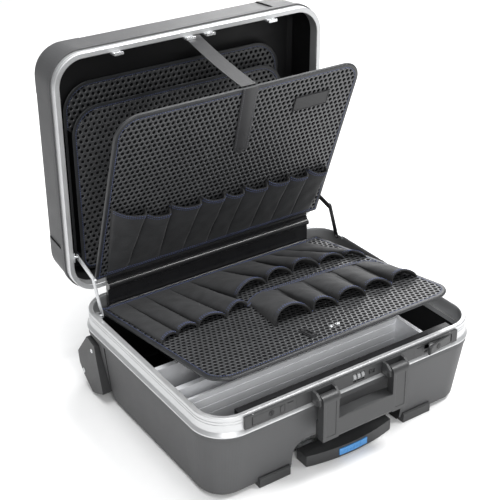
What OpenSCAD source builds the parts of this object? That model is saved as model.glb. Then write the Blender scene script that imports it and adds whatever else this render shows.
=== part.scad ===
// Rolling hard tool case: a moulded base and lid on an aluminium frame, two tool
// boards on a spine, a telescopic pull handle under the base and two rear wheels.
// +X runs along the front from left to right, +Y from the front to the hinge, +Z up.
// The origin is on the floor under the middle of the frame. The lid rests open.

/* [Case] */
// Width of the aluminium frame
case_w = 490; // [440:1:560]
// Depth of the aluminium frame, front to hinge
case_d = 402; // [380:1:450]
// Corner radius of the frame
corner_r = 50; // [40:1:60]
// Gap under the base shell
foot_h = 3; // [2:0.5:6]
// Height of the base shell below its frame
base_shell_h = 116.5; // [105:0.5:140]
// Height of the base frame band
band_h = 31; // [28:0.5:36]
// Wall of the moulded shells
wall = 3.5; // [3:0.1:4.5]
// How far the base side walls lean in at the floor
side_draft = 8; // [5:0.5:12]
// How far the base front wall leans in at the floor
front_draft = 16; // [10:0.5:20]
// How far the base rear wall leans in at the floor
rear_draft = 4; // [2:0.5:6]
// Depth of the relief between the raised corners
relief = 1.6; // [1:0.1:2]

/* [Lid] */
// Depth of the lid from the opening plane to its back
lid_depth = 84; // [76:1:110]
// Height of the lid frame band
lid_band_h = 12.4; // [10:0.2:16]
// How far the lid stands open
lid_open = 89; // [85:1:95]
// Distance of the hinge pin behind the frame
hinge_back = 8.5; // [7.5:0.1:10]
// Distance of the hinge pin below the rim
hinge_drop = 10.6; // [10:0.1:12]
// Diameter of the hinge pin
hinge_pin_d = 4; // [3:0.1:5]

/* [Tool boards] */
// Free space beside each board
board_gap = 26; // [25:1:40]
// Thickness of a board
board_t = 4; // [3:0.5:5]
// Height of the upper board
upper_len = 334; // [300:1:340]
// Length of the lower board
lower_len = 362; // [340:1:364]
// Lean of the open upper board towards the front
upper_lean = 20.4; // [10:0.1:25]
// Rise of the lower board towards its front edge
lower_rise = 9.4; // [4:0.1:12]
// Corner radius of the boards
board_r = 38; // [20:1:45]
// Height of the spine that carries both boards
spine_h = 52; // [48:1:56]

/* [Pull handle] */
// Width of the channel under the base
channel_w = 206; // [196:1:216]
// Width of the pull grip
grip_w = 160; // [150:1:170]
// Distance between the two pull tubes
tube_span = 116; // [100:1:130]

/* [Carrying handle] */
// Outer width of the carrying handle
handle_w = 156; // [140:1:170]
// Width of one handle arm
arm_w = 28; // [24:1:32]
// Length of the handle from its pin to its lower edge
handle_drop = 67; // [60:1:75]

/* [Wheels] */
// Diameter of a wheel
wheel_d = 57; // [50:1:58]
// Width of a wheel
wheel_w = 24; // [20:1:26]
// Diameter of the wheel axle
axle_d = 6; // [5:0.5:6.5]

/* [Dividers] */
// Distance of the divider tops below the rim
divider_drop = 16.5; // [14:0.5:40]
// Distance of the front divider from the middle of the case
divider_front_y = -107; // [-125:1:-100]
// Distance of the middle divider from the middle of the case
divider_middle_y = -76; // [-85:1:-60]
// Distance of the rear divider from the middle of the case
divider_rear_y = -16; // [-40:1:0]
// Where the long dividers meet the cross divider
cross_x = 156; // [140:1:170]

/* [Hidden] */
$fn = 64;

eps = 0.01;
seat = 0.3;                                    // clearance where a piece only rests
fit = 0.05;                                    // radial clearance of a running pin
hw = case_w / 2;
board_w = case_w - 2 * board_gap;
hd = case_d / 2;
shell_top = foot_h + base_shell_h;
rim = shell_top + band_h;
lip_w = 7.5;                                   // width of the frame's top lip
foot_u = 4;                                    // reach of the frame's flared skirt
leg_h = 6;                                     // inner leg that holds the shell
collar_u = 2.5;                                // reach of the shell collar
collar_h = 9;
seal_gap = 0.4;                                // between the closed frames
inner_u = -4;                                  // inner face of the shells at their frame

hinge_y = hd + hinge_back;
hinge_z = rim - hinge_drop;
knuckle_d = 8;
leaf_t = 2;
leaf_len = 60;
leaf_x = [95 - hw, 0, hw - 95];

// Height of the lid's parts with the lid shut
lid_z0 = rim + seal_gap;
lid_z1 = lid_z0 + lid_band_h;
lid_top = rim + lid_depth;
lid_lip_w = 8.9;
lid_draft = 4;

// Spine and board pivots
spine_t = 6.5;
spine_y1 = hd - 10;                            // back of the spine
spine_w = board_w - 42;
roll_d = 12;                                   // sewn roll along the spine
roll_drop = 14;                                // middle of the roll below the upper hinge line
spine_z0 = rim - 20.3;
upper_y = spine_y1 - spine_t / 2 + 0.75;
upper_z = spine_z0 + spine_h + 2;
lower_y = spine_y1 - spine_t;
lower_z = spine_z0 + 2.4;

// Lid stay linkage, seen from the side as y and z
stay_base = [hd - 59, rim - 1.5];
stay_elbow = [hd - 38, rim + 49.5];
stay_lid = [hd + 21, rim + 66.5];
stay_x = hw - 12.7;                            // outer face of the outer link
link_t = 1.8;
link_gap = 0.4;
link_w = 9;
rivet_d = 5;
bracket_t = 2;

// Front plates on the band
plate_t = 4;
plate_z0 = shell_top + 7.3;
plate_z1 = rim - 3.5;
plate_zm = (plate_z0 + plate_z1) / 2;
plate_mid_x = 108;                             // seam between the middle and end plates
plate_end_x = hw - 50;
front_y = -hd - plate_t;                       // face of the front plates

// Latches
lever_len = 52;
lever_h = 13;
lever_pivot_x = hw - 64;
lever_y = -hd - plate_t / 2;
latch_pin_d = 2.5;
key_d = 9;
key_x = hw - 94;
right_lever_open = 12;                         // the right latch rests part open
hasp_x = [105 - hw, -14, 22, hw - 105];
hasp_w = 16;

// Combination dials
dial_d = 13;
dial_w = 5;
dial_pitch = 7.5;
dial_x0 = 3;
dial_y = -hd + 1.5;
dial_axle_d = 3;
slider_x = 22;
slider_w = 5;
slider_travel = 5;

// Carrying handle
handle_y = -hd - 18;
handle_z = rim - 16;
handle_pin_d = 6;
handle_face_y = -hd - 27;
cheek_t = 4;
cheek_gap = 0.5;
grip_h = 33;
grip_depth = 20;
arm_t = 13;
arm_top_r = 9;

// Pull handle under the base
channel_h = 33;                                // roof of the channel above the floor
pocket_h = 56;                                 // roof of the hand pocket above the floor
pocket_r = 20;
pocket_y = -hd + 41;                           // back of the hand pocket
tube_z = foot_h + 9.5;
tube_h = 18;
tube_w = 24;
tube_t = 1.2;
tube_gap = 0.3;
tube_y0 = -hd + 44;
tube_y1 = hd - 22;
grip_y = -hd + 9;                              // face of the grip at its ends
grip_bulge = 10;                               // how far its middle stands out
pull_depth = 24;
grip_z0 = foot_h - 1.5;
grip_z1 = grip_z0 + 19;
button_w = 52;
button_t = 8;
button_travel = 4;

// Wheels and housings
wheel_y = hd - 17.7;
wheel_z = foot_h + 28.3;
housing_out = hw + 7.5;
housing_in = hw - 30.5;
cheek_wall = 6.5;
wheel_x = (housing_out - cheek_wall + housing_in + cheek_wall) / 2;
well_gap = 0.3;
axle_head_d = 8.5;
axle_head_h = 1.2;
wheel_room = 2.5;                              // free space round the tyre

// Feet
foot_x = hw - 110;
foot_w = 54;
foot_face = -hd + 10;
foot_top = 17;

// Dividers
floor_z = foot_h + wall;                       // inside floor of the base
divider_top = rim - divider_drop;
divider_t = 3;
divider_lip_w = 9;
divider_lip_h = 3;
divider_back = 12;                             // where the cross divider ends
bump_x = channel_w / 2 + wall + seat;
bump_z = channel_h + wall + seat / 3;

// Boards
rod_d = 4.6;                                   // rod along each board's hinge line
rod_gap = 2.6;
pocket_skin = 1.4;
pocket_side = 1.6;                             // from a seam to the pocket beside it
pocket_fold = 0.26;                            // share of the width where the sides turn up
pocket_edge = 212;                             // outer end of a row on a board seams_w wide
seams_w = 438;                                 // board width that the seams are given for
flap_start = 4;                                // start of a pocket's side flap from the closed end
flap_trim = 0.6;                               // taken off a flap's far corner

// Pocket seams: place at the mouth, place at the closed end, and mouth height; then how far
// the pocket after the seam stands out (0 lies flat) and the height of its closed end
upper_seams = [[-pocket_edge, -pocket_edge, 150, 0, 12], [-206, -194, 155, 13, 12],
  [-138, -162, 131, 13, 12], [-95, -104, 131, 13, 12], [-42, -59, 131, 13, 12],
  [10, -13, 122, 12, 12], [48, 26, 119, 13, 12], [97, 74, 116, 12, 12], [140, 117, 110, 12, 12],
  [184, 159, 106, 12, 12], [pocket_edge, 200, 104, 0, 12]];
back_seams = [[-208, -208, 190, 8, 12], [-166, -173, 167, 8, 12], [-128, -140, 163, 8, 12],
  [-78, -100, 159, 8, 12], [-37, -64, 138, 19, 12], [31, -1, 113, 16, 12],
  [86, 49, 112, 18, 12], [140, 103, 114, 16, 12], [187, 158, 124, 11, 12],
  [pocket_edge, 202, 138, 0, 12]];
front_seams = [[-57, -54, 269, 30, 168], [18, 26, 258, 25, 152], [65, 75, 262, 26, 152],
  [119, 122, 262, 25, 152], [169, 177, 268, 18, 152], [pocket_edge, pocket_edge, 260, 0, 152]];

// Strap
strap_w = 24;
strap_t = 1.2;
strap_x = 4;                                   // middle of the strap at the board's top edge
strap_lean = 3.5;
strap_v0 = 205;
strap_link_w = 18;

// Document pockets
doc_t = 1.5;
doc_front_w = case_w - 90;
doc_front_z = rim + 50;
doc_front_s = 296;
doc_rear_w = case_w - 82;
doc_rear_z = rim + 68;
doc_rear_s = 330;
doc_r = 48;
doc_end = 52;                                  // from a pocket's end to its side webs

// ---------- shared outlines ----------

// Rounded rectangle centred on the origin, with true arcs
module rrect(w, d, r) {
  square([w - 2 * r, d], center = true);
  square([w, d - 2 * r], center = true);
  for (sx = [-1, 1]) for (sy = [-1, 1]) translate([sx * (w / 2 - r), sy * (d / 2 - r)]) circle(r);
}

// Runs a profile (x = outwards, y = up) round the frame outline
module frame_run() {
  for (a = [0, 180]) rotate([0, 0, a])
    translate([hw, hd - corner_r, 0]) rotate([90, 0, 0])
      linear_extrude(case_d - 2 * corner_r) children();
  for (a = [90, 270]) rotate([0, 0, a])
    translate([hd, hw - corner_r, 0]) rotate([90, 0, 0])
      linear_extrude(case_w - 2 * corner_r) children();
  for (c = [[1, 1, 0], [-1, 1, 90], [-1, -1, 180], [1, -1, 270]])
    translate([c[0] * (hw - corner_r), c[1] * (hd - corner_r), 0]) rotate([0, 0, c[2]])
      rotate_extrude(angle = 90) translate([corner_r, 0]) children();
}

// Thin slice of the base at height z, with its insets from the frame outline
module base_slice(z, side, front, rear) {
  r = corner_r - max(side, 0);
  translate([0, (front - rear) / 2, z]) linear_extrude(eps)
    rrect(case_w - 2 * side, case_d - front - rear, r);
}

// Plate outline (y, z) extruded along x
module side_plate(x, t, pts) {
  translate([x, 0, 0]) rotate([90, 0, 90]) linear_extrude(t) polygon(pts);
}

module x_cylinder(x, y, z, d, len) {
  translate([x, y, z]) rotate([0, 90, 0]) cylinder(d = d, h = len);
}

module at_lid() {
  translate([0, hinge_y, hinge_z]) rotate([-lid_open, 0, 0])
    translate([0, -hinge_y, -hinge_z]) children();
}

module both_sides() {
  children();
  mirror([1, 0, 0]) children();
}

// ---------- base shell ----------

// Side outline (y, z) of a wheel housing, and of the well cut for it
housing_pts = [[hd - 82.5, 20], [hd - 68, 78], [hd - 64, 101], [hd - 39, 107], [hd - 1, 61],
  [hd - 4, 40], [hd - 17, 24], [hd - 45, foot_h + 1], [hd - 61, 10]];
well_pts = [[hd - 91, -1], [hd - 71, 78], [hd - 67, 103], [hd - 38.5, 109.5],
  [hd + 1, 66], [hd + 30, 66], [hd + 30, -1]];
well_roof_pts = [[hd - 91 - wall, -1], [hd - 71 - wall, 78 + wall], [hd - 67 - wall, shell_top - leg_h - 4],
  [hd - 40, shell_top - leg_h - 0.5], [hd + 4, 66 + wall], [hd + 30, 66 + wall], [hd + 30, -1]];

module base_outer() {
  hull() {
    base_slice(foot_h, side_draft + 5, front_draft + 5, rear_draft + 5);
    base_slice(foot_h + 5, side_draft, front_draft, rear_draft);
    base_slice(shell_top - collar_h, -1, -1, -1);
  }
  translate([0, 0, shell_top - collar_h]) linear_extrude(collar_h)
    rrect(case_w + 2 * collar_u, case_d + 2 * collar_u, corner_r + collar_u);
}

module base_cavity() {
  hull() {
    base_slice(foot_h + wall, side_draft + wall + 3, front_draft + wall + 3, rear_draft + wall + 3);
    base_slice(foot_h + wall + 4, side_draft + wall, front_draft + wall, rear_draft + wall);
    base_slice(shell_top - leg_h - 1, -inner_u, -inner_u, -inner_u);
    base_slice(shell_top + 1, -inner_u, -inner_u, -inner_u);
  }
}

// Hand pocket and tube channel, grown by g for the bump inside the case
module under_channel(g) {
  translate([-channel_w / 2 - g, -hd - 10, -1]) cube([channel_w + 2 * g, hd + 10 + pocket_y + g,
    pocket_h - pocket_r + 1]);
  translate([-channel_w / 2 + pocket_r, -hd - 10, -1]) cube([channel_w - 2 * pocket_r,
    hd + 10 + pocket_y + g, pocket_h + g + 1]);
  for (s = [-1, 1]) translate([s * (channel_w / 2 - pocket_r), -hd - 10, pocket_h - pocket_r])
    rotate([-90, 0, 0]) cylinder(r = pocket_r + g, h = hd + 10 + pocket_y + g);
  translate([-channel_w / 2 - g, pocket_y - 5, -1])
    cube([channel_w + 2 * g, case_d, channel_h + g + 1]);
}

// Relief pads between the raised corners of the side walls
module side_reliefs() {
  lean = atan2(side_draft + 1, base_shell_h - collar_h);
  both_sides() translate([-hw - 1, -hd + 76, shell_top - collar_h - 2]) rotate([0, -lean, 0])
    translate([-10 + relief, 0, -base_shell_h * 1.2]) cube([10, case_d - 160, base_shell_h * 1.2]);
}

module base_shell() {
  color([0.27, 0.275, 0.285]) difference() {
    base_outer();
    difference() {
      base_cavity();
      under_channel(wall);
      both_sides() side_plate(housing_in - well_gap - wall, 60, well_roof_pts);
    }
    under_channel(0);
    both_sides() side_plate(housing_in - well_gap, 60, well_pts);
    side_reliefs();
  }
}

// ---------- base frame ----------

// Windows in the band behind the dials and the latch levers
module band_windows() {
  translate([dial_x0 - 17, -hd - 8, plate_zm - 7.5]) cube([34, 12, 15]);
  both_sides() translate([lever_pivot_x - lever_len + 1, -hd - 8, plate_zm - 5.5]) cube([13, 12, 11]);
}

module base_frame() {
  b = shell_top;
  t = rim;
  color([0.80, 0.81, 0.82]) difference() {
    frame_run() polygon([[foot_u, b], [foot_u, b + 2], [0.6, b + 6], [0, b + 7],
      [0, t - 12.3], [-0.5, t - 11.9], [-0.5, t - 11.4], [0, t - 11],
      [0, t - 7.8], [-0.5, t - 7.4], [-0.5, t - 6.9], [0, t - 6.5],
      [0, t - 1.2], [-1.2, t], [-lip_w + 1, t], [-lip_w, t - 1], [-lip_w, t - 6],
      [-lip_w + 1.6, t - 6], [-lip_w + 1.6, t - 2.5], [-2.4, t - 2.5], [-2.4, b + 2.2],
      [inner_u - 1.8, b + 2.2], [inner_u - 1.8, b - leg_h], [inner_u - seat / 2, b - leg_h],
      [inner_u - seat / 2, b]]);
    band_windows();
  }
}

// Shelf inside the front of the band, with a slot under each hasp
module front_trim() {
  y0 = -hd + lip_w + seat;
  color([0.20, 0.20, 0.21]) difference() {
    union() {
      translate([-plate_end_x, y0, rim - 6.5]) cube([2 * plate_end_x, 15, 2.5]);
      translate([-plate_end_x, y0 + 12.5, rim - 40]) cube([2 * plate_end_x, 2.5, 35]);
      for (s = [-1, 1]) translate([s * (plate_end_x - 2) - 2, y0, rim - 20]) cube([4, 14, 15]);
    }
    for (x = hasp_x) translate([x - hasp_w / 2 - 1, y0 - 1, rim - 12]) cube([hasp_w + 2, 6.5, 10]);
  }
}

// ---------- front plates, latches and lock ----------

module lever_blank(g) {
  translate([lever_pivot_x - lever_len - g, -hd - plate_t - g, plate_zm - lever_h / 2 - g])
    cube([lever_len + g, plate_t - 0.1 + g, lever_h + 2 * g]);
  translate([lever_pivot_x, lever_y, plate_zm - lever_h / 2 - g])
    cylinder(d = plate_t + 2 * g, h = lever_h + 2 * g);
}

module lock_plate() {
  difference() {
    translate([plate_mid_x + seat, front_y, plate_z0])
      cube([plate_end_x - plate_mid_x - seat, plate_t, plate_z1 - plate_z0]);
    translate([lever_pivot_x - lever_len - 0.6, front_y - 1, plate_zm - lever_h / 2 - 0.4])
      cube([lever_len + 3.6, plate_t + 2, lever_h + 0.8]);
    translate([lever_pivot_x, lever_y, plate_z0 - 1]) cylinder(d = latch_pin_d, h = 30);
    translate([plate_mid_x + 6, front_y - 1, plate_z1 - 5]) cube([10, 1.8, 1.6]);
  }
}

module lock_plate_right() { color([0.22, 0.22, 0.23]) lock_plate(); }
module lock_plate_left() { color([0.22, 0.22, 0.23]) mirror([1, 0, 0]) lock_plate(); }

module latch_lever() {
  difference() {
    union() {
      lever_blank(0);
      translate([lever_pivot_x - lever_len + 2, front_y - 0.8, plate_zm - lever_h / 2 + 1.5])
        cube([5, 1, lever_h - 3]);
    }
    translate([lever_pivot_x, lever_y, 0]) cylinder(d = latch_pin_d + 2 * fit, h = 300);
    translate([key_x, front_y - 5, plate_zm]) rotate([-90, 0, 0]) cylinder(d = key_d + 0.2, h = 20);
  }
}

module key_cylinder() {
  translate([key_x, front_y - 0.5, plate_zm]) rotate([-90, 0, 0]) difference() {
    cylinder(d = key_d, h = plate_t + 0.3);
    translate([-0.6, -2.6, -1]) cube([1.2, 5.2, 3]);
    difference() {
      translate([0, 0, -1]) cylinder(d = 7.4, h = 1.5);
      translate([0, 0, -2]) cylinder(d = 6.4, h = 4);
    }
  }
}

module at_right_lever() {
  translate([lever_pivot_x, lever_y, 0]) rotate([0, 0, right_lever_open])
    translate([-lever_pivot_x, -lever_y, 0]) children();
}

module latch_lever_left() { color([0.23, 0.23, 0.24]) mirror([1, 0, 0]) latch_lever(); }
module latch_lever_right() { color([0.23, 0.23, 0.24]) at_right_lever() latch_lever(); }
module key_cylinder_left() { color([0.12, 0.12, 0.13]) mirror([1, 0, 0]) key_cylinder(); }
module key_cylinder_right() { color([0.12, 0.12, 0.13]) at_right_lever() key_cylinder(); }

module latch_pins() {
  color([0.6, 0.6, 0.62]) both_sides()
    translate([lever_pivot_x, lever_y, plate_z0 + 0.4])
      cylinder(d = latch_pin_d, h = plate_z1 - plate_z0 - 0.8);
}

module handle_plate() {
  color([0.22, 0.22, 0.23]) difference() {
    union() {
      translate([-plate_mid_x, front_y, plate_z0])
        cube([2 * plate_mid_x, plate_t, plate_z1 - plate_z0]);
      for (s = [-1, 1]) translate([dial_x0 + s * 14.5 - 1.5, -hd - 1, plate_zm - 6])
        cube([3, 7.5, 12]);
    }
    for (i = [-1:1]) translate([dial_x0 + i * dial_pitch - dial_w / 2 - 0.4, front_y - 1, plate_zm - 7])
      cube([dial_w + 0.8, plate_t + 2, 14]);
    x_cylinder(dial_x0 - 20, dial_y, plate_zm, dial_axle_d, 40);
    translate([slider_x - 0.4, front_y - 1, plate_zm - 3.4])
      cube([slider_w + slider_travel + 0.8, 3, 6.8]);
  }
}

module dial(i) {
  color([0.75, 0.75, 0.76]) difference() {
    x_cylinder(dial_x0 + i * dial_pitch - dial_w / 2, dial_y, plate_zm, dial_d, dial_w);
    x_cylinder(dial_x0 + i * dial_pitch - dial_w, dial_y, plate_zm, dial_axle_d + 2 * fit, 2 * dial_w);
    for (a = [18:36:359]) translate([dial_x0 + i * dial_pitch - dial_w, dial_y, plate_zm])
      rotate([a, 0, 0]) translate([0, dial_d / 2 - 0.4, -0.5]) cube([2 * dial_w, 2, 1]);
  }
}

module dial_1() { dial(-1); }
module dial_2() { dial(0); }
module dial_3() { dial(1); }

module dial_axle() {
  color([0.6, 0.6, 0.62]) x_cylinder(dial_x0 - 15.8, dial_y, plate_zm, dial_axle_d, 31.6);
}

module lock_slider() {
  color([0.12, 0.12, 0.13]) difference() {
    translate([slider_x, front_y - 1.5, plate_zm - 3]) cube([slider_w, 3.3, 6]);
    for (i = [-1:1]) translate([slider_x + slider_w / 2 + i * 1.4 - 0.3, front_y - 2, plate_zm - 4])
      cube([0.6, 1, 8]);
  }
}

// ---------- carrying handle ----------

module handle_bracket() {
  xo = handle_w / 2 + cheek_gap;
  xi = handle_w / 2 - arm_w - cheek_gap;
  translate([xi - cheek_t, front_y - 2.6, plate_z0 + 0.5])
    cube([xo - xi + 2 * cheek_t, 2.5, plate_z1 - plate_z0 - 1]);
  for (x = [xi - cheek_t, xo]) difference() {
    side_plate(x, cheek_t, [[front_y - 0.1, plate_z0 + 0.5], [front_y - 0.1, plate_z1 - 0.5],
      [handle_y + 4, plate_z1 - 0.5], [handle_y - 5, handle_z + 5], [handle_y - 5.5, handle_z - 5],
      [handle_y + 3, handle_z - 9]]);
    x_cylinder(x - 1, handle_y, handle_z, handle_pin_d, cheek_t + 2);
  }
}

module handle_brackets() { color([0.24, 0.24, 0.25]) both_sides() handle_bracket(); }

module handle_pins() {
  xi = handle_w / 2 - arm_w - cheek_gap - cheek_t;
  color([0.6, 0.6, 0.62]) both_sides()
    x_cylinder(xi + 0.2, handle_y, handle_z, handle_pin_d, arm_w + 2 * (cheek_gap + cheek_t) - 0.4);
}

// Two arms that hook over the pins and an arched grip between them
module carry_handle() {
  low = handle_z - handle_drop;
  color([0.21, 0.21, 0.22]) difference() {
    union() {
      both_sides() {
        translate([handle_w / 2 - arm_w, handle_face_y, low]) cube([arm_w, arm_t, handle_drop]);
        x_cylinder(handle_w / 2 - arm_w, handle_face_y + arm_top_r, handle_z, 2 * arm_top_r, arm_w);
      }
      intersection() {
        translate([0, handle_face_y + grip_depth, 0]) rotate([90, 0, 0]) linear_extrude(grip_depth)
          intersection() {
            translate([0, low - 400]) circle(r = 400 + grip_h + 1.5, $fn = 256);
            translate([-handle_w / 2 + 2, low]) square([handle_w - 4, grip_h + 4]);
          }
        rotate([90, 0, 90]) translate([handle_face_y + grip_depth / 2, low + grip_h / 2 + 1,
          -handle_w / 2]) linear_extrude(handle_w) rrect(grip_depth, grip_h + 5, 6);
      }
    }
    x_cylinder(-handle_w, handle_y, handle_z, handle_pin_d + 2 * fit, 2 * handle_w);
    both_sides() translate([handle_w / 2 - arm_w + 5, handle_face_y - 1, low + 6])
      cube([arm_w - 10, 1.6, handle_drop - 8]);
  }
}

// ---------- pull handle ----------

module tube_pair(stage, y0, y1) {
  w = tube_w - 2 * stage * (tube_t + tube_gap);
  h = tube_h - 2 * stage * (tube_t + tube_gap);
  for (s = [-1, 1]) translate([s * tube_span / 2, 0, tube_z]) difference() {
    translate([-w / 2, y0, -h / 2]) cube([w, y1 - y0, h]);
    translate([-w / 2 + tube_t, y0 - 1, -h / 2 + tube_t])
      cube([w - 2 * tube_t, y1 - y0 + 2, h - 2 * tube_t]);
  }
}

module trolley_outer_tubes() { color([0.72, 0.73, 0.74]) tube_pair(0, tube_y0, tube_y1); }
module trolley_middle_tubes() { color([0.76, 0.77, 0.78]) tube_pair(1, tube_y0 - 6, tube_y1 - 12); }
module trolley_inner_tubes() {
  color([0.80, 0.81, 0.82]) tube_pair(2, grip_y + pull_depth - 10, tube_y1 - 24);
}

// Two saddles that hang the outer tubes from the roof of the channel
module trolley_mount() {
  w = tube_span + tube_w + 12;
  color([0.16, 0.16, 0.17]) for (y = [tube_y0 + 6, tube_y1 - 30]) difference() {
    translate([-w / 2, y, tube_z - tube_h / 2 - 2.5])
      cube([w, 20, channel_h - tube_z + tube_h / 2 + 2.5]);
    for (s = [-1, 1]) translate([s * tube_span / 2 - tube_w / 2, y - 1, tube_z - tube_h / 2])
      cube([tube_w, 22, tube_h]);
    translate([-tube_span / 2 + tube_w / 2 + 5, y - 1, -1])
      cube([tube_span - tube_w - 10, 22, channel_h - 5]);
  }
}

module grip_plan() {
  r = (grip_w * grip_w / 4 + grip_bulge * grip_bulge) / (2 * grip_bulge);
  intersection() {
    translate([0, grip_y - grip_bulge + r]) circle(r = r, $fn = 256);
    translate([-grip_w / 2, grip_y - grip_bulge - 1]) square([grip_w, pull_depth + grip_bulge + 1]);
  }
}

module trolley_grip() {
  w = tube_w - 4 * (tube_t + tube_gap);
  h = tube_h - 4 * (tube_t + tube_gap);
  color([0.25, 0.25, 0.26]) difference() {
    translate([0, 0, grip_z0]) linear_extrude(grip_z1 - grip_z0) grip_plan();
    translate([-button_w / 2 - 0.3, grip_y - grip_bulge - 2, grip_z0 + 3.7])
      cube([button_w + 0.6, button_t + button_travel + 1.5, grip_z1 - grip_z0 - 7.4]);
    for (s = [-1, 1]) translate([s * tube_span / 2 - w / 2, grip_y + pull_depth - 10, tube_z - h / 2])
      cube([w, 12, h]);
    translate([-grip_w / 2 + 9, grip_y + pull_depth - 8, grip_z0 - 1])
      cube([grip_w / 2 - tube_span / 2 - w / 2 - 12, 9, grip_z1]);
  }
}

module trolley_button() {
  color([0.16, 0.34, 0.58]) difference() {
    intersection() {
      translate([-button_w / 2, grip_y - grip_bulge - 1.4, grip_z0 + 4])
        cube([button_w, button_t, grip_z1 - grip_z0 - 8]);
      translate([0, -1.4, 0]) linear_extrude(grip_z1) grip_plan();
    }
    for (i = [-3:3]) translate([i * 6 - 0.6, grip_y - grip_bulge - 2, grip_z0 + 6])
      cube([1.2, 1.4, grip_z1 - grip_z0 - 12]);
  }
}

// ---------- wheels ----------

module housing_screw_bore(d, depth) {
  x_cylinder(housing_out - depth, hd - 53.6, 87.5, d, depth + 1);
}

module wheel_housing() {
  room = wheel_d / 2 + wheel_room;
  gap = housing_out - housing_in - 2 * cheek_wall;
  difference() {
    side_plate(housing_in, housing_out - housing_in, housing_pts);
    x_cylinder(housing_in + cheek_wall, wheel_y, wheel_z, 2 * room, gap);
    side_plate(housing_in + cheek_wall, gap, [[wheel_y - room, wheel_z], [wheel_y - room, -5],
      [hd + 40, -5], [hd + 40, wheel_z + room], [wheel_y, wheel_z + room]]);
    x_cylinder(housing_in - 1, wheel_y, wheel_z, axle_d, housing_out);
    x_cylinder(housing_out - axle_head_h, wheel_y, wheel_z, axle_head_d, 5);
    housing_screw_bore(7, 1.4);
    housing_screw_bore(3.2, 14);
  }
}

module wheel_housing_right() { color([0.30, 0.305, 0.315]) wheel_housing(); }
module wheel_housing_left() { color([0.30, 0.305, 0.315]) mirror([1, 0, 0]) wheel_housing(); }

module wheel() {
  difference() {
    translate([wheel_x - wheel_w / 2, wheel_y, wheel_z]) rotate([0, 90, 0]) rotate_extrude()
      polygon([[0, 0], [wheel_d / 2 - 9, 0], [wheel_d / 2 - 9, 1.6], [wheel_d / 2 - 6, 1.6],
        [wheel_d / 2 - 5, 0.6], [wheel_d / 2 - 3, 0.6], [wheel_d / 2, 4],
        [wheel_d / 2, wheel_w - 4], [wheel_d / 2 - 3, wheel_w - 0.6], [wheel_d / 2 - 5, wheel_w - 0.6],
        [wheel_d / 2 - 6, wheel_w - 1.6], [wheel_d / 2 - 9, wheel_w - 1.6],
        [wheel_d / 2 - 9, wheel_w], [0, wheel_w]]);
    x_cylinder(wheel_x - wheel_w, wheel_y, wheel_z, axle_d + 2 * fit, 2 * wheel_w);
    for (a = [0:60:300]) translate([wheel_x, wheel_y, wheel_z]) rotate([a, 0, 0])
      x_cylinder(-wheel_w, 12.5, 0, 6, 2 * wheel_w);
  }
}

module wheel_right() { color([0.10, 0.10, 0.105]) wheel(); }
module wheel_left() { color([0.10, 0.10, 0.105]) mirror([1, 0, 0]) wheel(); }

module wheel_axles() {
  color([0.70, 0.71, 0.72]) both_sides() difference() {
    union() {
      x_cylinder(housing_in + 0.3, wheel_y, wheel_z, axle_d, housing_out - housing_in - 0.6);
      x_cylinder(housing_out - axle_head_h, wheel_y, wheel_z, axle_head_d - 0.2, axle_head_h + 0.6);
    }
    translate([housing_out - 1, wheel_y, wheel_z]) rotate([0, 90, 0]) cylinder(d = 4, h = 5, $fn = 6);
  }
}

module housing_screws() {
  color([0.75, 0.76, 0.77]) both_sides() difference() {
    union() {
      x_cylinder(housing_out - 1.4, hd - 53.6, 87.5, 6.8, 2);
      x_cylinder(housing_out - 13.5, hd - 53.6, 87.5, 3.2, 13);
    }
    translate([housing_out - 0.2, hd - 53.6 - 0.5, 80]) cube([3, 1, 15]);
    translate([housing_out - 0.2, hd - 53.6 - 7, 87]) cube([3, 14, 1]);
  }
}

// Feet that wrap the front edge, and plain pads at the rear
module feet() {
  slope = (front_draft + 1) / (base_shell_h - collar_h - 5);
  z1 = foot_h + 5;
  y1 = -hd + front_draft;
  color([0.22, 0.22, 0.23]) both_sides() {
    side_plate(foot_x - foot_w / 2, foot_w, [[foot_face, 1], [foot_face, foot_top - 2],
      [foot_face + 2, foot_top], [y1 - slope * (foot_top - z1) - 0.1, foot_top], [y1 - 0.1, z1],
      [y1 + 5 - 0.1, foot_h - 0.1], [foot_face + 40, foot_h - 0.1], [foot_face + 40, 0],
      [foot_face + 1, 0]]);
    translate([foot_x - foot_w / 2, 60, 0]) cube([foot_w, 40, foot_h - 0.1]);
  }
}

// ---------- dividers ----------

// Wall to wall plate across the case, notched over the channel
module cross_plate(y, x1) {
  wx = hw - 6.4;
  translate([0, y + divider_t / 2, 0]) rotate([90, 0, 0]) linear_extrude(divider_t)
    polygon([[-hw + side_draft + wall + 3.6, floor_z], [-bump_x, floor_z], [-bump_x, bump_z],
      [bump_x, bump_z], [bump_x, floor_z], [x1, floor_z], [x1, divider_top], [-wx, divider_top],
      [-wx, shell_top - 15], [-hw + side_draft + wall + 0.8, floor_z + 4]]);
}

module divider_lip(y, x1) {
  difference() {
    translate([-hw + 6.4, y - divider_lip_w / 2, divider_top - divider_lip_h])
      cube([x1 + hw - 6.4, divider_lip_w, divider_lip_h]);
    translate([-hw, y - 1.6, divider_top - 1.2]) cube([case_w, 3.2, 3]);
  }
}

module divider_front() {
  color([0.66, 0.67, 0.68]) difference() {
    union() {
      cross_plate(divider_front_y, cross_x - seat / 3);
      translate([-hw + 6.4, divider_front_y - divider_t / 2 - 1, divider_top - 4])
        cube([cross_x - seat / 3 + hw - 6.4, divider_t + 1, 4]);
    }
    for (d = [9, 23, 37, 56]) translate([-hw, divider_front_y - divider_t / 2 - 1, divider_top - d - 1.2])
      cube([case_w, 1.9, 2.4]);
  }
}

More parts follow.
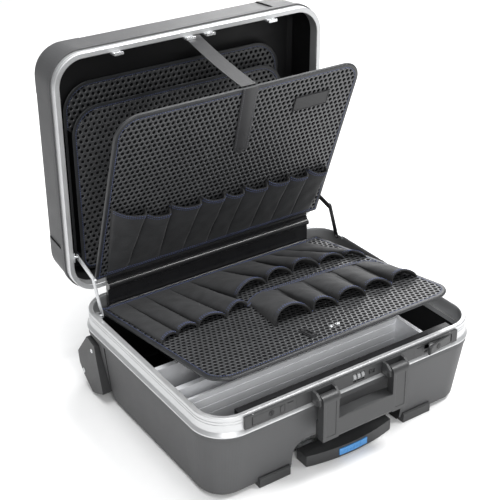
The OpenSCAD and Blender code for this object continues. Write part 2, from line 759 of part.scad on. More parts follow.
module divider_middle() {
  color([0.66, 0.67, 0.68]) {
    cross_plate(divider_middle_y, cross_x - seat / 3);
    divider_lip(divider_middle_y, cross_x - seat / 3);
  }
}

module divider_rear() {
  color([0.66, 0.67, 0.68]) {
    cross_plate(divider_rear_y, cross_x - seat / 3);
    divider_lip(divider_rear_y, cross_x - seat / 3);
  }
}

module divider_cross() {
  color([0.66, 0.67, 0.68]) {
    side_plate(cross_x, divider_t, [[-hd + front_draft + wall + 4, floor_z], [-hd + 24.5, floor_z + 3],
      [-hd + 24.5, divider_top], [divider_back, divider_top], [divider_back, floor_z]]);
    translate([cross_x, -hd + 24.5, divider_top - divider_lip_h])
      cube([divider_lip_w - 2, hd - 24.5 + divider_back, divider_lip_h]);
  }
}

// ---------- hinge ----------

knuckle_n = 5;

module knuckles(first) {
  pitch = leaf_len / knuckle_n;
  for (x = leaf_x) for (i = [first:2:knuckle_n - 1])
    translate([x - leaf_len / 2 + i * pitch + 0.1, 0, 0]) children();
}

module hinge_base_leaf() {
  pitch = leaf_len / knuckle_n - 0.2;
  color([0.62, 0.63, 0.64]) difference() {
    union() {
      for (x = leaf_x) translate([x - leaf_len / 2, hd + seat / 3, hinge_z - 13])
        cube([leaf_len, leaf_t, 9]);
      knuckles(0) {
        x_cylinder(0, hinge_y, hinge_z, knuckle_d, pitch);
        translate([0, hd + seat / 3, hinge_z - 4.5]) cube([pitch, leaf_t, 4.5]);
        translate([0, hd + seat / 3, hinge_z - knuckle_d / 2]) cube([pitch, hinge_back, 3]);
      }
    }
    x_cylinder(-hw, hinge_y, hinge_z, hinge_pin_d, case_w);
    for (x = leaf_x) for (s = [-1, 1]) translate([x + s * 20, hd + leaf_t + 1, hinge_z - 9])
      rotate([90, 0, 0]) cylinder(d = 3.2, h = 6);
  }
}

module hinge_lid_leaf() {
  pitch = leaf_len / knuckle_n - 0.2;
  color([0.62, 0.63, 0.64]) at_lid() difference() {
    union() {
      for (x = leaf_x) translate([x - leaf_len / 2, hd + seat / 3, lid_z0 + 1])
        cube([leaf_len, leaf_t, lid_band_h - 2]);
      knuckles(1) {
        x_cylinder(0, hinge_y, hinge_z, knuckle_d, pitch);
        translate([0, hd + seat / 3, hinge_z]) cube([pitch, leaf_t, lid_z0 + 2 - hinge_z]);
        translate([0, hd + seat / 3, hinge_z + 1]) cube([pitch, hinge_back, knuckle_d / 2 - 1]);
      }
    }
    x_cylinder(-hw, hinge_y, hinge_z, hinge_pin_d + 2 * fit, case_w);
    for (x = leaf_x) for (s = [-1, 1]) translate([x + s * 20, hd + leaf_t + 1, lid_z0 + lid_band_h / 2])
      rotate([90, 0, 0]) cylinder(d = 3.2, h = 6);
  }
}

module hinge_pin() {
  color([0.75, 0.76, 0.77]) for (x = leaf_x)
    x_cylinder(x - leaf_len / 2 + 0.2, hinge_y, hinge_z, hinge_pin_d, leaf_len - 0.4);
}

// ---------- spine and boards ----------

module spine() {
  top = upper_z - rod_d / 2 - 0.4;
  color([0.10, 0.10, 0.105]) {
    translate([-spine_w / 2, spine_y1 - spine_t, spine_z0]) cube([spine_w, spine_t, top - spine_z0 - 1.5]);
    translate([-spine_w / 2, upper_y - 1, top - 2]) cube([spine_w, 2, 4]);
    x_cylinder(-spine_w / 2, upper_y, upper_z, rod_d, spine_w);
    x_cylinder(-spine_w / 2, lower_y, lower_z, rod_d, spine_w);
    for (x = [-120, 0, 120]) translate([x - 18, spine_y1 - 0.1, rim - 6])
      cube([36, hd - lip_w - spine_y1 + 0.1, 5]);
    intersection() {
      x_cylinder(-spine_w / 2, spine_y1 - spine_t, upper_z - roll_drop, roll_d, spine_w);
      translate([-hw, spine_y1 - spine_t - roll_d, spine_z0])
        cube([case_w, roll_d + 0.1, upper_z - spine_z0]);
    }
  }
}

module at_upper() { translate([0, upper_y, upper_z]) rotate([upper_lean, 0, 0]) children(); }
module at_lower() { translate([0, lower_y, lower_z]) rotate([-lower_rise, 0, 0]) children(); }

// Faces of the boards with x across, y from the hinge line to the free edge, z outwards
module on_upper() { at_upper() translate([0, -board_t / 2, 0]) rotate([90, 0, 0]) children(); }
module on_lower() { at_lower() translate([0, 0, board_t / 2]) mirror([0, 1, 0]) children(); }

module board_outline(len, g) {
  w = board_w - 2 * g;
  difference() {
    union() {
      translate([-w / 2, rod_gap + g]) square([w, len - rod_gap - board_r - g]);
      translate([-w / 2 + board_r - g, rod_gap + g]) square([w - 2 * board_r + 2 * g, len - rod_gap - 2 * g]);
      for (s = [-1, 1]) translate([s * (board_w / 2 - board_r), len - board_r]) circle(board_r - g);
    }
  }
}

module board_plate(len) {
  translate([0, 0, -board_t]) linear_extrude(board_t) board_outline(len, 0);
  translate([0, 0, -board_t - 0.8]) linear_extrude(board_t + 1.6) difference() {
    board_outline(len, 1.5);
    board_outline(len, 7);
  }
}

module lower_board() { color([0.13, 0.13, 0.135]) on_lower() board_plate(lower_len); }

module upper_board() {
  color([0.11, 0.11, 0.115]) on_upper() board_plate(upper_len);
}

// Side of a pocket: a three-cornered flap that rises from its seam. The seam runs from c to
// d on the board, and e is the corner of the mouth's fold, at height h
module pocket_flap(c, d, e, h, side) {
  run = norm(d - c);
  dir = (d - c) / run;
  along = (e - c) * dir;
  off = abs(dir[0] * (e[1] - c[1]) - dir[1] * (e[0] - c[0]));
  reach = sqrt(off * off + h * h);
  translate([c[0], c[1], seat]) rotate([0, 0, atan2(dir[1], dir[0])])
    rotate([side * atan2(h, off), 0, 0]) linear_extrude(pocket_skin)
      polygon([[flap_start, 0], [run, 0], [along + flap_trim, side * (reach - flap_trim)]]);
}

// Row of pockets, closed towards the hinge line: each has a slanted front and two flaps
module pocket_row(seams) {
  w = board_w / seams_w;
  for (i = [0:len(seams) - 2]) {
    a = seams[i];
    b = seams[i + 1];
    v0 = a[4];
    c0 = [w * a[1] + pocket_side, v0];
    c1 = [w * b[1] - pocket_side, v0];
    d0 = [w * a[0] + pocket_side, a[2]];
    d1 = [w * b[0] - pocket_side, b[2]];
    e0 = d0 + (d1 - d0) * pocket_fold;
    e1 = d1 + (d0 - d1) * pocket_fold;
    k = a[3] / ((a[2] + b[2]) / 2 - v0);
    if (a[3] > 0) {
      intersection() {
        translate([-hw, 0, 0]) rotate([90, 0, 90]) linear_extrude(case_w)
          polygon([[v0, seat], [v0 + 200, seat + 200 * k], [v0 + 200, seat + 200 * k + pocket_skin],
            [v0, seat + pocket_skin]]);
        linear_extrude(200) polygon([c0, c1, e1, e0]);
      }
      pocket_flap(c0, d0, e0, k * (e0[1] - v0), -1);
      pocket_flap(c1, d1, e1, k * (e1[1] - v0), 1);
    } else translate([0, 0, seat]) linear_extrude(pocket_skin) polygon([c0, c1, d1, d0]);
  }
}

module upper_pockets() {
  color([0.16, 0.16, 0.165]) on_upper()
    pocket_row(upper_seams);
}

module lower_pockets_back() {
  color([0.16, 0.16, 0.165]) on_lower()
    pocket_row(back_seams);
}

module lower_pockets_front() {
  color([0.16, 0.16, 0.165]) on_lower()
    pocket_row(front_seams);
}

module pull_loop() {
  color([0.45, 0.45, 0.46]) on_lower() translate([-36, 324, seat]) difference() {
    union() {
      translate([-7, -16, 0]) cube([14, 32, 1.6]);
      translate([-5, -14, 1.6]) cube([10, 28, 1.2]);
    }
    translate([-3, -9, -1]) cube([6, 18, 5]);
  }
}

module loop_rivet() {
  color([0.55, 0.55, 0.56]) on_lower() for (x = [2, 14]) translate([x, 328, 0.3]) {
    cylinder(d = 7, h = 1.2);
    cylinder(d = 3.5, h = 2.2);
  }
}

module strap() {
  color([0.19, 0.19, 0.195]) on_upper() {
    translate([strap_x, upper_len + 2, 1.1]) rotate([0, 0, strap_lean]) {
      translate([-strap_w / 2, strap_v0 - upper_len, 0]) cube([strap_w, upper_len - strap_v0, strap_t]);
      translate([-strap_w / 2 - 4, strap_v0 - upper_len + 34, strap_t]) cube([strap_w + 8, 16, 1.6]);
    }
  }
}

// Free span of the strap from the board's top edge to the lid
module strap_link() {
  by = upper_y - upper_len * sin(upper_lean);
  bz = upper_z + upper_len * cos(upper_lean);
  dy = lid_lip_w + 1.5 - hd - hinge_y;
  dz = lid_z0 + 2.5 - hinge_z;
  ly = hinge_y + dy * cos(lid_open) + dz * sin(lid_open);
  lz = hinge_z - dy * sin(lid_open) + dz * cos(lid_open);
  run = sqrt((ly - by) * (ly - by) + (lz - bz) * (lz - bz));
  color([0.19, 0.19, 0.195]) translate([strap_x - strap_link_w / 2, by, bz + 1.2])
    rotate([atan2(lz - bz - 1.2, ly - by), 0, 0]) translate([0, 2, 0]) cube([strap_link_w, run - 2, strap_t]);
}

// ---------- lid ----------

module lid_slice(inset, z) {
  r = corner_r - inset;
  translate([0, 0, z]) linear_extrude(eps) rrect(case_w - 2 * inset, case_d - 2 * inset, r);
}

module lid_shell() {
  c = lid_z1 + collar_h;
  color([0.27, 0.275, 0.285]) at_lid() difference() {
    union() {
      translate([0, 0, lid_z1]) linear_extrude(collar_h)
        rrect(case_w + 2 * collar_u, case_d + 2 * collar_u, corner_r + collar_u);
      hull() {
        lid_slice(-1, c - 1);
        lid_slice(lid_draft - 1, lid_top - 9);
        lid_slice(lid_draft + 2, lid_top - 3);
        lid_slice(lid_draft + 8, lid_top - eps);
      }
    }
    hull() {
      lid_slice(-inner_u, lid_z1 - 1);
      lid_slice(lid_draft + wall - 1, lid_top - 10);
      lid_slice(lid_draft + wall + 5, lid_top - wall);
    }
    both_sides() translate([hw - relief, -125, lid_z1 + collar_h + 2])
      rotate([0, -atan2(lid_draft, lid_depth - 30), 0]) cube([20, 250, lid_depth]);
    for (m = [0, 1]) mirror([0, m, 0]) translate([-165, hd - relief, lid_z1 + collar_h + 2])
      rotate([atan2(lid_draft, lid_depth - 30), 0, 0]) cube([330, 20, lid_depth]);
    for (x = [-110:55:110]) translate([x - 11, -130, lid_top - 1.2]) cube([22, 260, 3]);
  }
}

module lid_frame() {
  b = lid_z0;
  t = lid_z1;
  color([0.80, 0.81, 0.82]) at_lid() frame_run() polygon([[-1.2, b], [0, b + 1.2], [0, b + 4.4],
    [-0.5, b + 4.8], [-0.5, b + 5.3], [0, b + 5.7], [0, t], [-2.4, t], [-2.4, b + 2.5],
    [-lid_lip_w + 1.8, b + 2.5], [-lid_lip_w + 1.8, t + 6], [-lid_lip_w, t + 6], [-lid_lip_w, b + 0.8],
    [-lid_lip_w + 0.8, b]]);
}

// Hooks on the lid frame that drop into the slots of the front shelf
module lid_hasps() {
  y = -hd + lid_lip_w;
  color([0.20, 0.20, 0.21]) at_lid() for (x = hasp_x) difference() {
    union() {
      translate([x - hasp_w / 2, y + seat / 3, rim - 9]) cube([hasp_w, 3, 17]);
      translate([x - hasp_w / 2, y - 1.1, rim - 9]) cube([hasp_w, 2, 2.5]);
    }
    translate([x - 3, y - 3, rim - 5]) cube([6, 8, 3]);
  }
}

module doc_sheet(w, s1, z, r) {
  translate([0, hd - 9 - (s1 - 9) / 2, z]) linear_extrude(doc_t) rrect(w, s1 - 9, r);
}

module doc_webs(w, s1, z0, z1) {
  for (s = [-1, 1]) translate([s * (w / 2 - doc_t / 2) - doc_t / 2, hd - s1 + doc_end, z0])
    cube([doc_t, s1 - 2 * doc_end, z1 - z0]);
  translate([doc_end - w / 2, hd - 26, z0]) cube([w - 2 * doc_end, doc_t, z1 - z0]);
}

module document_pocket_rear() {
  color([0.15, 0.15, 0.155]) at_lid() {
    doc_sheet(doc_rear_w, doc_rear_s, doc_rear_z, doc_r);
    doc_webs(doc_rear_w, doc_rear_s, doc_rear_z + doc_t, lid_top - wall);
  }
}

module document_pocket_front() {
  color([0.15, 0.15, 0.155]) at_lid() {
    doc_sheet(doc_front_w, doc_front_s, doc_front_z, doc_r);
    doc_webs(doc_front_w, doc_front_s, doc_front_z + doc_t, doc_rear_z - 0.1);
  }
}

// ---------- lid stays ----------

stay_lid_dy = stay_lid[0] - hinge_y;
stay_lid_dz = stay_lid[1] - hinge_z;
stay_shut_y = hinge_y + stay_lid_dy * cos(lid_open) - stay_lid_dz * sin(lid_open);
stay_shut_z = hinge_z + stay_lid_dy * sin(lid_open) + stay_lid_dz * cos(lid_open);
stay_in = stay_x - link_t;                     // inner face of the outer link

module stay_base_studs() {
  x0 = hw - lip_w - bracket_t;
  color([0.68, 0.69, 0.70]) both_sides() {
    translate([x0, stay_base[0] - 9, rim - 6]) cube([bracket_t, 18, 6]);
    x_cylinder(stay_in - seat, stay_base[0], stay_base[1], rivet_d, x0 - stay_in + 2 * seat);
  }
}

module stay_lid_studs() {
  x0 = hw - lid_lip_w - bracket_t;
  color([0.68, 0.69, 0.70]) at_lid() both_sides() {
    translate([x0, stay_shut_y - 8, lid_z0 + 0.3]) cube([bracket_t, 16, 9]);
    x_cylinder(stay_in + 0.1, stay_shut_y, stay_shut_z, 4, x0 - stay_in + 0.5);
  }
}

// Flat link with round ends from a to b, both (y, z)
module link_bar(x, a, b, bore_a, bore_b) {
  run = sqrt((b[0] - a[0]) * (b[0] - a[0]) + (b[1] - a[1]) * (b[1] - a[1]));
  translate([x, 0, 0]) rotate([90, 0, 90]) linear_extrude(link_t) difference() {
    union() {
      translate(a) rotate(atan2(b[1] - a[1], b[0] - a[0]))
        translate([0, -link_w / 2]) square([run, link_w]);
      translate(a) circle(d = link_w);
      translate(b) circle(d = link_w);
    }
    translate(a) circle(d = bore_a);
    if (bore_b > 0) translate(b) circle(d = bore_b);
  }
}

module stay_lower() {
  link_bar(stay_in, stay_base, stay_elbow, rivet_d + 2 * fit, 0);
  x_cylinder(stay_in - link_gap - link_t - 0.6, stay_elbow[0], stay_elbow[1], rivet_d, link_t + link_gap + 1);
}

module stay_upper() {
  link_bar(stay_in - link_gap - link_t, stay_elbow, stay_lid, rivet_d + 2 * fit, 4.4);
}

module stay_lower_right() { color([0.72, 0.73, 0.74]) stay_lower(); }
module stay_lower_left() { color([0.72, 0.73, 0.74]) mirror([1, 0, 0]) stay_lower(); }
module stay_upper_right() { color([0.72, 0.73, 0.74]) stay_upper(); }
module stay_upper_left() { color([0.72, 0.73, 0.74]) mirror([1, 0, 0]) stay_upper(); }

base_shell();
base_frame();
front_trim();
lock_plate_left();
lock_plate_right();
handle_plate();
latch_lever_left();
latch_lever_right();
key_cylinder_left();
key_cylinder_right();
latch_pins();
dial_1();
dial_2();
dial_3();
dial_axle();
lock_slider();
handle_brackets();
carry_handle();
handle_pins();
trolley_mount();
trolley_outer_tubes();
trolley_middle_tubes();
trolley_inner_tubes();
trolley_grip();
trolley_button();
wheel_housing_left();
wheel_housing_right();
wheel_left();
wheel_right();
wheel_axles();
housing_screws();
feet();
divider_front();
divider_middle();
divider_rear();
divider_cross();
hinge_base_leaf();
hinge_lid_leaf();
hinge_pin();
spine();
lower_board();
lower_pockets_back();
lower_pockets_front();
pull_loop();
loop_rivet();
upper_board();
upper_pockets();
strap();
strap_link();
lid_shell();
lid_frame();
lid_hasps();
document_pocket_rear();
document_pocket_front();
stay_base_studs();
stay_lid_studs();
stay_lower_left();
stay_lower_right();
stay_upper_left();
stay_upper_right();
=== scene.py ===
"""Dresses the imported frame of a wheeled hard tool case: shells, frames, boards, pockets and stage."""

import math

import bmesh
import bpy
import numpy as np
from bpy.props import FloatProperty, FloatVectorProperty, PointerProperty
from mathutils import Matrix, Vector


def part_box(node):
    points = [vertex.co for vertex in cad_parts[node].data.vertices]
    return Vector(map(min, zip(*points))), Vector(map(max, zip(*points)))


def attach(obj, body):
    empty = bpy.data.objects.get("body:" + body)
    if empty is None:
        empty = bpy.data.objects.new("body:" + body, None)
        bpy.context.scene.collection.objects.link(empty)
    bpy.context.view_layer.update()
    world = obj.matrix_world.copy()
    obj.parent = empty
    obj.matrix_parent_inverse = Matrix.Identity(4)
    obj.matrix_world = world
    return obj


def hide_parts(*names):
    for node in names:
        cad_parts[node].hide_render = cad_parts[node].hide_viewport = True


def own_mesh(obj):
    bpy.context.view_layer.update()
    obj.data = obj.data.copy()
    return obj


bl_info = {
    "name": "Hard tool case finishes",
    "version": (1, 0, 0),
    "blender": (4, 5, 0),
    "location": "3D View > Sidebar > Tool Case",
    "description": "Finishes, boards, pockets and stage for a wheeled hard tool case",
    "category": "Object",
}

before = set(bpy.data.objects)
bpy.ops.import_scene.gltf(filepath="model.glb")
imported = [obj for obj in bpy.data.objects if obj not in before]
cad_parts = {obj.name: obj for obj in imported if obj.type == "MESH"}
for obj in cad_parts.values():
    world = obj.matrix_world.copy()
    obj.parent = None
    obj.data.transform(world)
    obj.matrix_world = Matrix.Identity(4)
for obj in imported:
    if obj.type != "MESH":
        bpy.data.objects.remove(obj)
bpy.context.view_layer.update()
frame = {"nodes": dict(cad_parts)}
NODES = frame["nodes"]

# ---------------------------------------------------------------- the case's own sizes, in metres

MM = 0.001
HINGE_Y, HINGE_Z = 0.2095, 0.1399            # the lid's hinge line
LID_OPEN = math.radians(89)
BOARD_W, BOARD_R, BOARD_T = 0.438, 0.038, 0.004
ROD_GAP = 0.0026                             # from the hinge line to the board's edge
UPPER = {"y": 0.1885, "z": 0.1842, "turn": math.radians(20.4), "length": 0.334}
LOWER = {"y": 0.1845, "z": 0.1326, "turn": math.radians(9.4), "length": 0.362}
DOC_FRONT = {"width": 0.400, "reach": 0.287, "z": 0.2005}
DOC_REAR = {"width": 0.408, "reach": 0.321, "z": 0.2185}
DOC_FOOT_Y, DOC_R = 0.192, 0.048
DOC_BACK = 0.2305                            # behind the rear document pocket
DOC_HOLES = (0.0098, 0.0085, 0.0058)         # pitch, rows and width of the document pockets' holes
STRAP_X, STRAP_LEAN, STRAP_DOWN = 0.004, math.radians(3.5), 0.131
STRAP_THICK = 0.0014
CAMERA_AT = (-0.8877, -1.2625, 1.0895)
CAMERA_TURN = [math.radians(a) for a in (-33.87, 27.2, -0.67)]   # azimuth, height and roll
# Pockets of each row in millimetres on their board: both ends of the mouth (across, up), both ends of
# the closed end (across), how far the front stands out, and where across its width it stands out most
UPPER_ROW = [(-208, 160, -148, 140, -198, -163, 14, 0.88), (-147, 131, -103, 127, -162, -105, 13, 0.88),
             (-102, 134, -47, 128, -104, -60, 13.5, 0.88), (-46, 131, -2, 125, -59, -14, 13, 0.88),
             (-1, 125, 35, 122, -13, 25, 12, 0.88), (36, 127, 82, 120, 26, 73, 13, 0.88),
             (83, 124, 126, 119, 74, 116, 12.5, 0.88), (127, 120, 165, 117, 117, 158, 12, 0.88),
             (166, 122, 207, 112, 159, 200, 12, 0.88)]
BACK_ROW = [(-208, 194, -177, 187, -208, -177, 9, 0.5), (-176, 186, -140, 185, -176, -141, 12, 0.42),
            (-139, 185, -90, 186, -140, -98, 14, 0.42), (-89, 185, -46, 177, -97, -58, 16, 0.55),
            (-44, 141, 28, 119, -57, 6, 20, 0.48), (31, 119, 81, 118, 7, 68, 19, 0.42),
            (86, 114, 131, 126, 69, 105, 20, 0.42), (139, 118, 182, 127, 106, 135, 13, 0.5),
            (187, 124, 211, 150, 136, 184, 11, 0.45)]
FRONT_ROW = [(-56, 269, 10, 268, -36, 23, 26, 0.42), (16, 267, 56, 275, 28, 71, 19, 0.34),
             (64, 265, 108, 278, 76, 126, 19, 0.5), (119, 262, 158, 280, 133, 172, 16, 0.48),
             (169, 269, 210, 280, 177, 207, 17, 0.42)]
# Closed ends of the front row, under the band sewn across the board: across and up
FRONT_BAND = [(-50, 176), (-30, 156), (-2, 143), (30, 145), (59, 148), (125, 151), (180, 157), (198, 166),
              (210, 182)]
FLAT_FOOT = 12.0                             # height of the other rows' closed ends, in millimetres


# ---------------------------------------------------------------- places on the moving panels

def on_upper(points):
    """Board coordinates (across, up from the hinge line, out from the face) to the case's frame."""
    p = np.asarray(points, float).reshape(-1, 3)
    s, c, h = math.sin(UPPER["turn"]), math.cos(UPPER["turn"]), BOARD_T / 2
    return np.stack([p[:, 0], UPPER["y"] - h * c - p[:, 1] * s - p[:, 2] * c,
                     UPPER["z"] - h * s + p[:, 1] * c - p[:, 2] * s], 1)


def on_lower(points):
    p = np.asarray(points, float).reshape(-1, 3)
    s, c, h = math.sin(LOWER["turn"]), math.cos(LOWER["turn"]), BOARD_T / 2
    return np.stack([p[:, 0], LOWER["y"] + h * s - p[:, 1] * c + p[:, 2] * s,
                     LOWER["z"] + h * c + p[:, 1] * s + p[:, 2] * c], 1)


def in_lid(points):
    """Shut coordinates to the open lid's."""
    p = np.asarray(points, float).reshape(-1, 3)
    c, s = math.cos(-LID_OPEN), math.sin(-LID_OPEN)
    y, z = p[:, 1] - HINGE_Y, p[:, 2] - HINGE_Z
    return np.stack([p[:, 0], HINGE_Y + y * c - z * s, HINGE_Z + y * s + z * c], 1)


def on_document_sheet(doc):
    def place(points):
        p = np.asarray(points, float).reshape(-1, 3)
        return in_lid(np.stack([p[:, 0], DOC_FOOT_Y - p[:, 1], doc["z"] - p[:, 2]], 1))
    return place


# ---------------------------------------------------------------- meshes

def make_piece(name, verts, faces, place=None, smooth=True, recalc=True, uvs=None, sharp=35):
    """A mesh object at the origin. Its faces are turned outwards once it is in place."""
    verts = np.asarray(verts, float).reshape(-1, 3)
    if place is not None:
        verts = place(verts)
    mesh = bpy.data.meshes.new(name)
    mesh.from_pydata([tuple(v) for v in verts], [], [tuple(int(i) for i in f) for f in faces])
    if uvs is not None:
        layer = mesh.uv_layers.new(name="UVMap")
        loops = np.zeros(len(mesh.loops), np.int32)
        mesh.loops.foreach_get("vertex_index", loops)
        layer.data.foreach_set("uv", np.asarray(uvs, np.float32)[loops].ravel())
    if recalc:
        bm = bmesh.new()
        bm.from_mesh(mesh)
        bmesh.ops.recalc_face_normals(bm, faces=bm.faces)
        bm.to_mesh(mesh)
        bm.free()
    mesh.update()
    obj = bpy.data.objects.new(name, mesh)
    bpy.context.scene.collection.objects.link(obj)
    if smooth:
        mesh.shade_smooth()
        mesh.set_sharp_from_angle(angle=math.radians(sharp))
    return obj


def joined(parts):
    """Several (verts, faces) lumps as one."""
    verts, faces, n = [], [], 0
    for v, f in parts:
        v = np.asarray(v, float).reshape(-1, 3)
        verts.append(v)
        faces += [[i + n for i in face] for face in f]
        n += len(v)
    return np.concatenate(verts), faces


def strip_faces(rows, cols, closed_rows=False, closed_cols=False):
    out = []
    for i in range(rows if closed_rows else rows - 1):
        for j in range(cols if closed_cols else cols - 1):
            a, b = i * cols + j, i * cols + (j + 1) % cols
            c, d = ((i + 1) % rows) * cols + (j + 1) % cols, ((i + 1) % rows) * cols + j
            out.append([a, b, c, d])
    return out


def skin(grid, thick):
    """A closed sheet of that thickness round a grid of middle points (rows x cols x 3)."""
    g = np.asarray(grid, float)
    rows, cols = g.shape[:2]
    n = np.cross(np.gradient(g, axis=1), np.gradient(g, axis=0))
    n /= np.maximum(np.linalg.norm(n, axis=2, keepdims=True), 1e-12)
    top, low = (g + n * thick / 2).reshape(-1, 3), (g - n * thick / 2).reshape(-1, 3)
    m = rows * cols
    faces = strip_faces(rows, cols)
    faces += [[i + m for i in f[::-1]] for f in strip_faces(rows, cols)]
    border = (list(range(cols)) + [i * cols + cols - 1 for i in range(1, rows)]
              + [(rows - 1) * cols + j for j in range(cols - 2, -1, -1)]
              + [i * cols for i in range(rows - 2, 0, -1)])
    for k, a in enumerate(border):
        b = border[(k + 1) % len(border)]
        faces.append([b, a, a + m, b + m])
    return np.concatenate([top, low]), faces


def mitres(path, closed=True):
    """Inward mitre vectors of a loop in the plane that runs anticlockwise."""
    p = np.asarray(path, float)
    if closed:
        before, after = p - np.roll(p, 1, 0), np.roll(p, -1, 0) - p
    else:
        before = np.diff(p, axis=0, prepend=2 * p[:1] - p[1:2])
        after = np.diff(p, axis=0, append=2 * p[-1:] - p[-2:-1])
    unit = lambda d: d / np.maximum(np.linalg.norm(d, axis=1, keepdims=True), 1e-12)
    a, b = unit(before), unit(after)
    na, nb = np.stack([-a[:, 1], a[:, 0]], 1), np.stack([-b[:, 1], b[:, 0]], 1)
    m = unit(na + nb)
    return m / np.maximum((m * na).sum(1, keepdims=True), 0.35)


def plane_sweep(path, profile, closed=True):
    """Sweeps a closed profile of (inward, out) points round a path in the board's plane."""
    m = mitres(path, closed)
    ring = [np.column_stack([path[:, 0] + m[:, 0] * a, path[:, 1] + m[:, 1] * a, np.full(len(path), b)])
            for a, b in profile]
    verts = np.stack(ring, 1).reshape(-1, 3)
    k = len(profile)
    faces = strip_faces(len(path), k, closed_rows=closed, closed_cols=True)
    if not closed:
        faces += [list(range(k))[::-1], [(len(path) - 1) * k + i for i in range(k)]]
    return verts, faces


def rounded_loop(half_w, v0, v1, r_top, r_foot=0.004, n=14):
    """Anticlockwise outline with rounded corners, from the foot's left corner."""
    out = []
    for cx, cv, r, a0 in ((-half_w + r_foot, v0 + r_foot, r_foot, 180),
                          (half_w - r_foot, v0 + r_foot, r_foot, 270),
                          (half_w - r_top, v1 - r_top, r_top, 0), (-half_w + r_top, v1 - r_top, r_top, 90)):
        for i in range(n + 1):
            a = math.radians(a0 + 90 * i / n)
            out.append((cx + r * math.cos(a), cv + r * math.sin(a)))
    return np.array(out)


def refined(path, step, closed=True):
    """The same path with points at most that far apart."""
    p = np.asarray(path, float)
    ends = np.roll(p, -1, 0) if closed else p[1:]
    out = []
    for a, b in zip(p, ends):
        k = max(1, int(math.ceil(np.linalg.norm(b - a) / step)))
        out += [a + (b - a) * i / k for i in range(k)]
    if not closed:
        out.append(p[-1])
    return np.array(out)


def round_bar(width, height, r, n=5, low=0.0):
    """Profile of a bar with rounded edges: inward from 0 to width, out from low to low + height."""
    pts = []
    for cx, cy, a0 in ((width - r, low + height - r, 0), (r, low + height - r, 90), (r, low + r, 180),
                       (width - r, low + r, 270)):
        for i in range(n + 1):
            a = math.radians(a0 + 90 * i / n)
            pts.append((cx + r * math.cos(a), cy + r * math.sin(a)))
    return pts


def slab(loop, low, high):
    """A flat plate between two heights inside a loop."""
    n = len(loop)
    verts = [(x, v, low) for x, v in loop] + [(x, v, high) for x, v in loop]
    faces = [list(range(n))[::-1], list(range(n, 2 * n))]
    faces += [[i, (i + 1) % n, (i + 1) % n + n, i + n] for i in range(n)]
    return verts, faces


def box_lump(x0, x1, y0, y1, z0, z1):
    return slab([(x0, y0), (x1, y0), (x1, y1), (x0, y1)], z0, z1)


# ---------------------------------------------------------------- node trees

def grow(tree, kind, values=None, **settings):
    """A new node with those settings and those values at its inputs."""
    node = tree.nodes.new(kind)
    for key, value in settings.items():
        setattr(node, key, value)
    for key, value in (values or {}).items():
        node.inputs[key].default_value = value
    return node


def plug(tree, *pairs):
    for a, b in pairs:
        tree.links.new(a, b)


def geometry_tree(name, inputs):
    tree = bpy.data.node_groups.new(name, "GeometryNodeTree")
    tree.interface.new_socket("Geometry", in_out="INPUT", socket_type="NodeSocketGeometry")
    for label, kind, value in inputs:
        sock = tree.interface.new_socket(label, in_out="INPUT", socket_type=kind)
        if value is not None:
            sock.default_value = value
    tree.interface.new_socket("Geometry", in_out="OUTPUT", socket_type="NodeSocketGeometry")
    return tree, grow(tree, "NodeGroupInput"), grow(tree, "NodeGroupOutput")


def stitch_tree():
    """Thread laid along the edges of a wire mesh, one short rounded stitch after another."""
    if "Stitch run" in bpy.data.node_groups:
        return bpy.data.node_groups["Stitch run"]
    tree, start, end = geometry_tree("Stitch run", [
        ("Spacing", "NodeSocketFloat", 0.004), ("Stitch", "NodeSocketFloat", 0.003),
        ("Thread", "NodeSocketFloat", 0.0009), ("Finish", "NodeSocketMaterial", None)])
    curve = grow(tree, "GeometryNodeMeshToCurve")
    even = grow(tree, "GeometryNodeResampleCurve", mode="LENGTH")
    ball = grow(tree, "GeometryNodeMeshUVSphere", {"Segments": 6, "Rings": 4, "Radius": 0.5})
    size = grow(tree, "ShaderNodeCombineXYZ")
    shape = grow(tree, "GeometryNodeTransform")
    along = grow(tree, "GeometryNodeInputTangent")
    turn = grow(tree, "FunctionNodeAlignRotationToVector", axis="X")
    put = grow(tree, "GeometryNodeInstanceOnPoints")
    real = grow(tree, "GeometryNodeRealizeInstances")
    smooth = grow(tree, "GeometryNodeSetShadeSmooth")
    paint = grow(tree, "GeometryNodeSetMaterial")
    plug(tree, (start.outputs["Geometry"], curve.inputs["Mesh"]), (curve.outputs["Curve"], even.inputs["Curve"]),
         (start.outputs["Spacing"], even.inputs["Length"]), (even.outputs["Curve"], put.inputs["Points"]),
         (start.outputs["Stitch"], size.inputs["X"]), (start.outputs["Thread"], size.inputs["Y"]),
         (start.outputs["Thread"], size.inputs["Z"]), (ball.outputs["Mesh"], shape.inputs["Geometry"]),
         (size.outputs["Vector"], shape.inputs["Scale"]), (shape.outputs["Geometry"], put.inputs["Instance"]),
         (along.outputs["Tangent"], turn.inputs["Vector"]), (turn.outputs["Rotation"], put.inputs["Rotation"]),
         (put.outputs["Instances"], real.inputs["Geometry"]), (real.outputs["Geometry"], smooth.inputs["Geometry"]),
         (smooth.outputs["Geometry"], paint.inputs["Geometry"]),
         (start.outputs["Finish"], paint.inputs["Material"]), (paint.outputs["Geometry"], end.inputs["Geometry"]))
    return tree


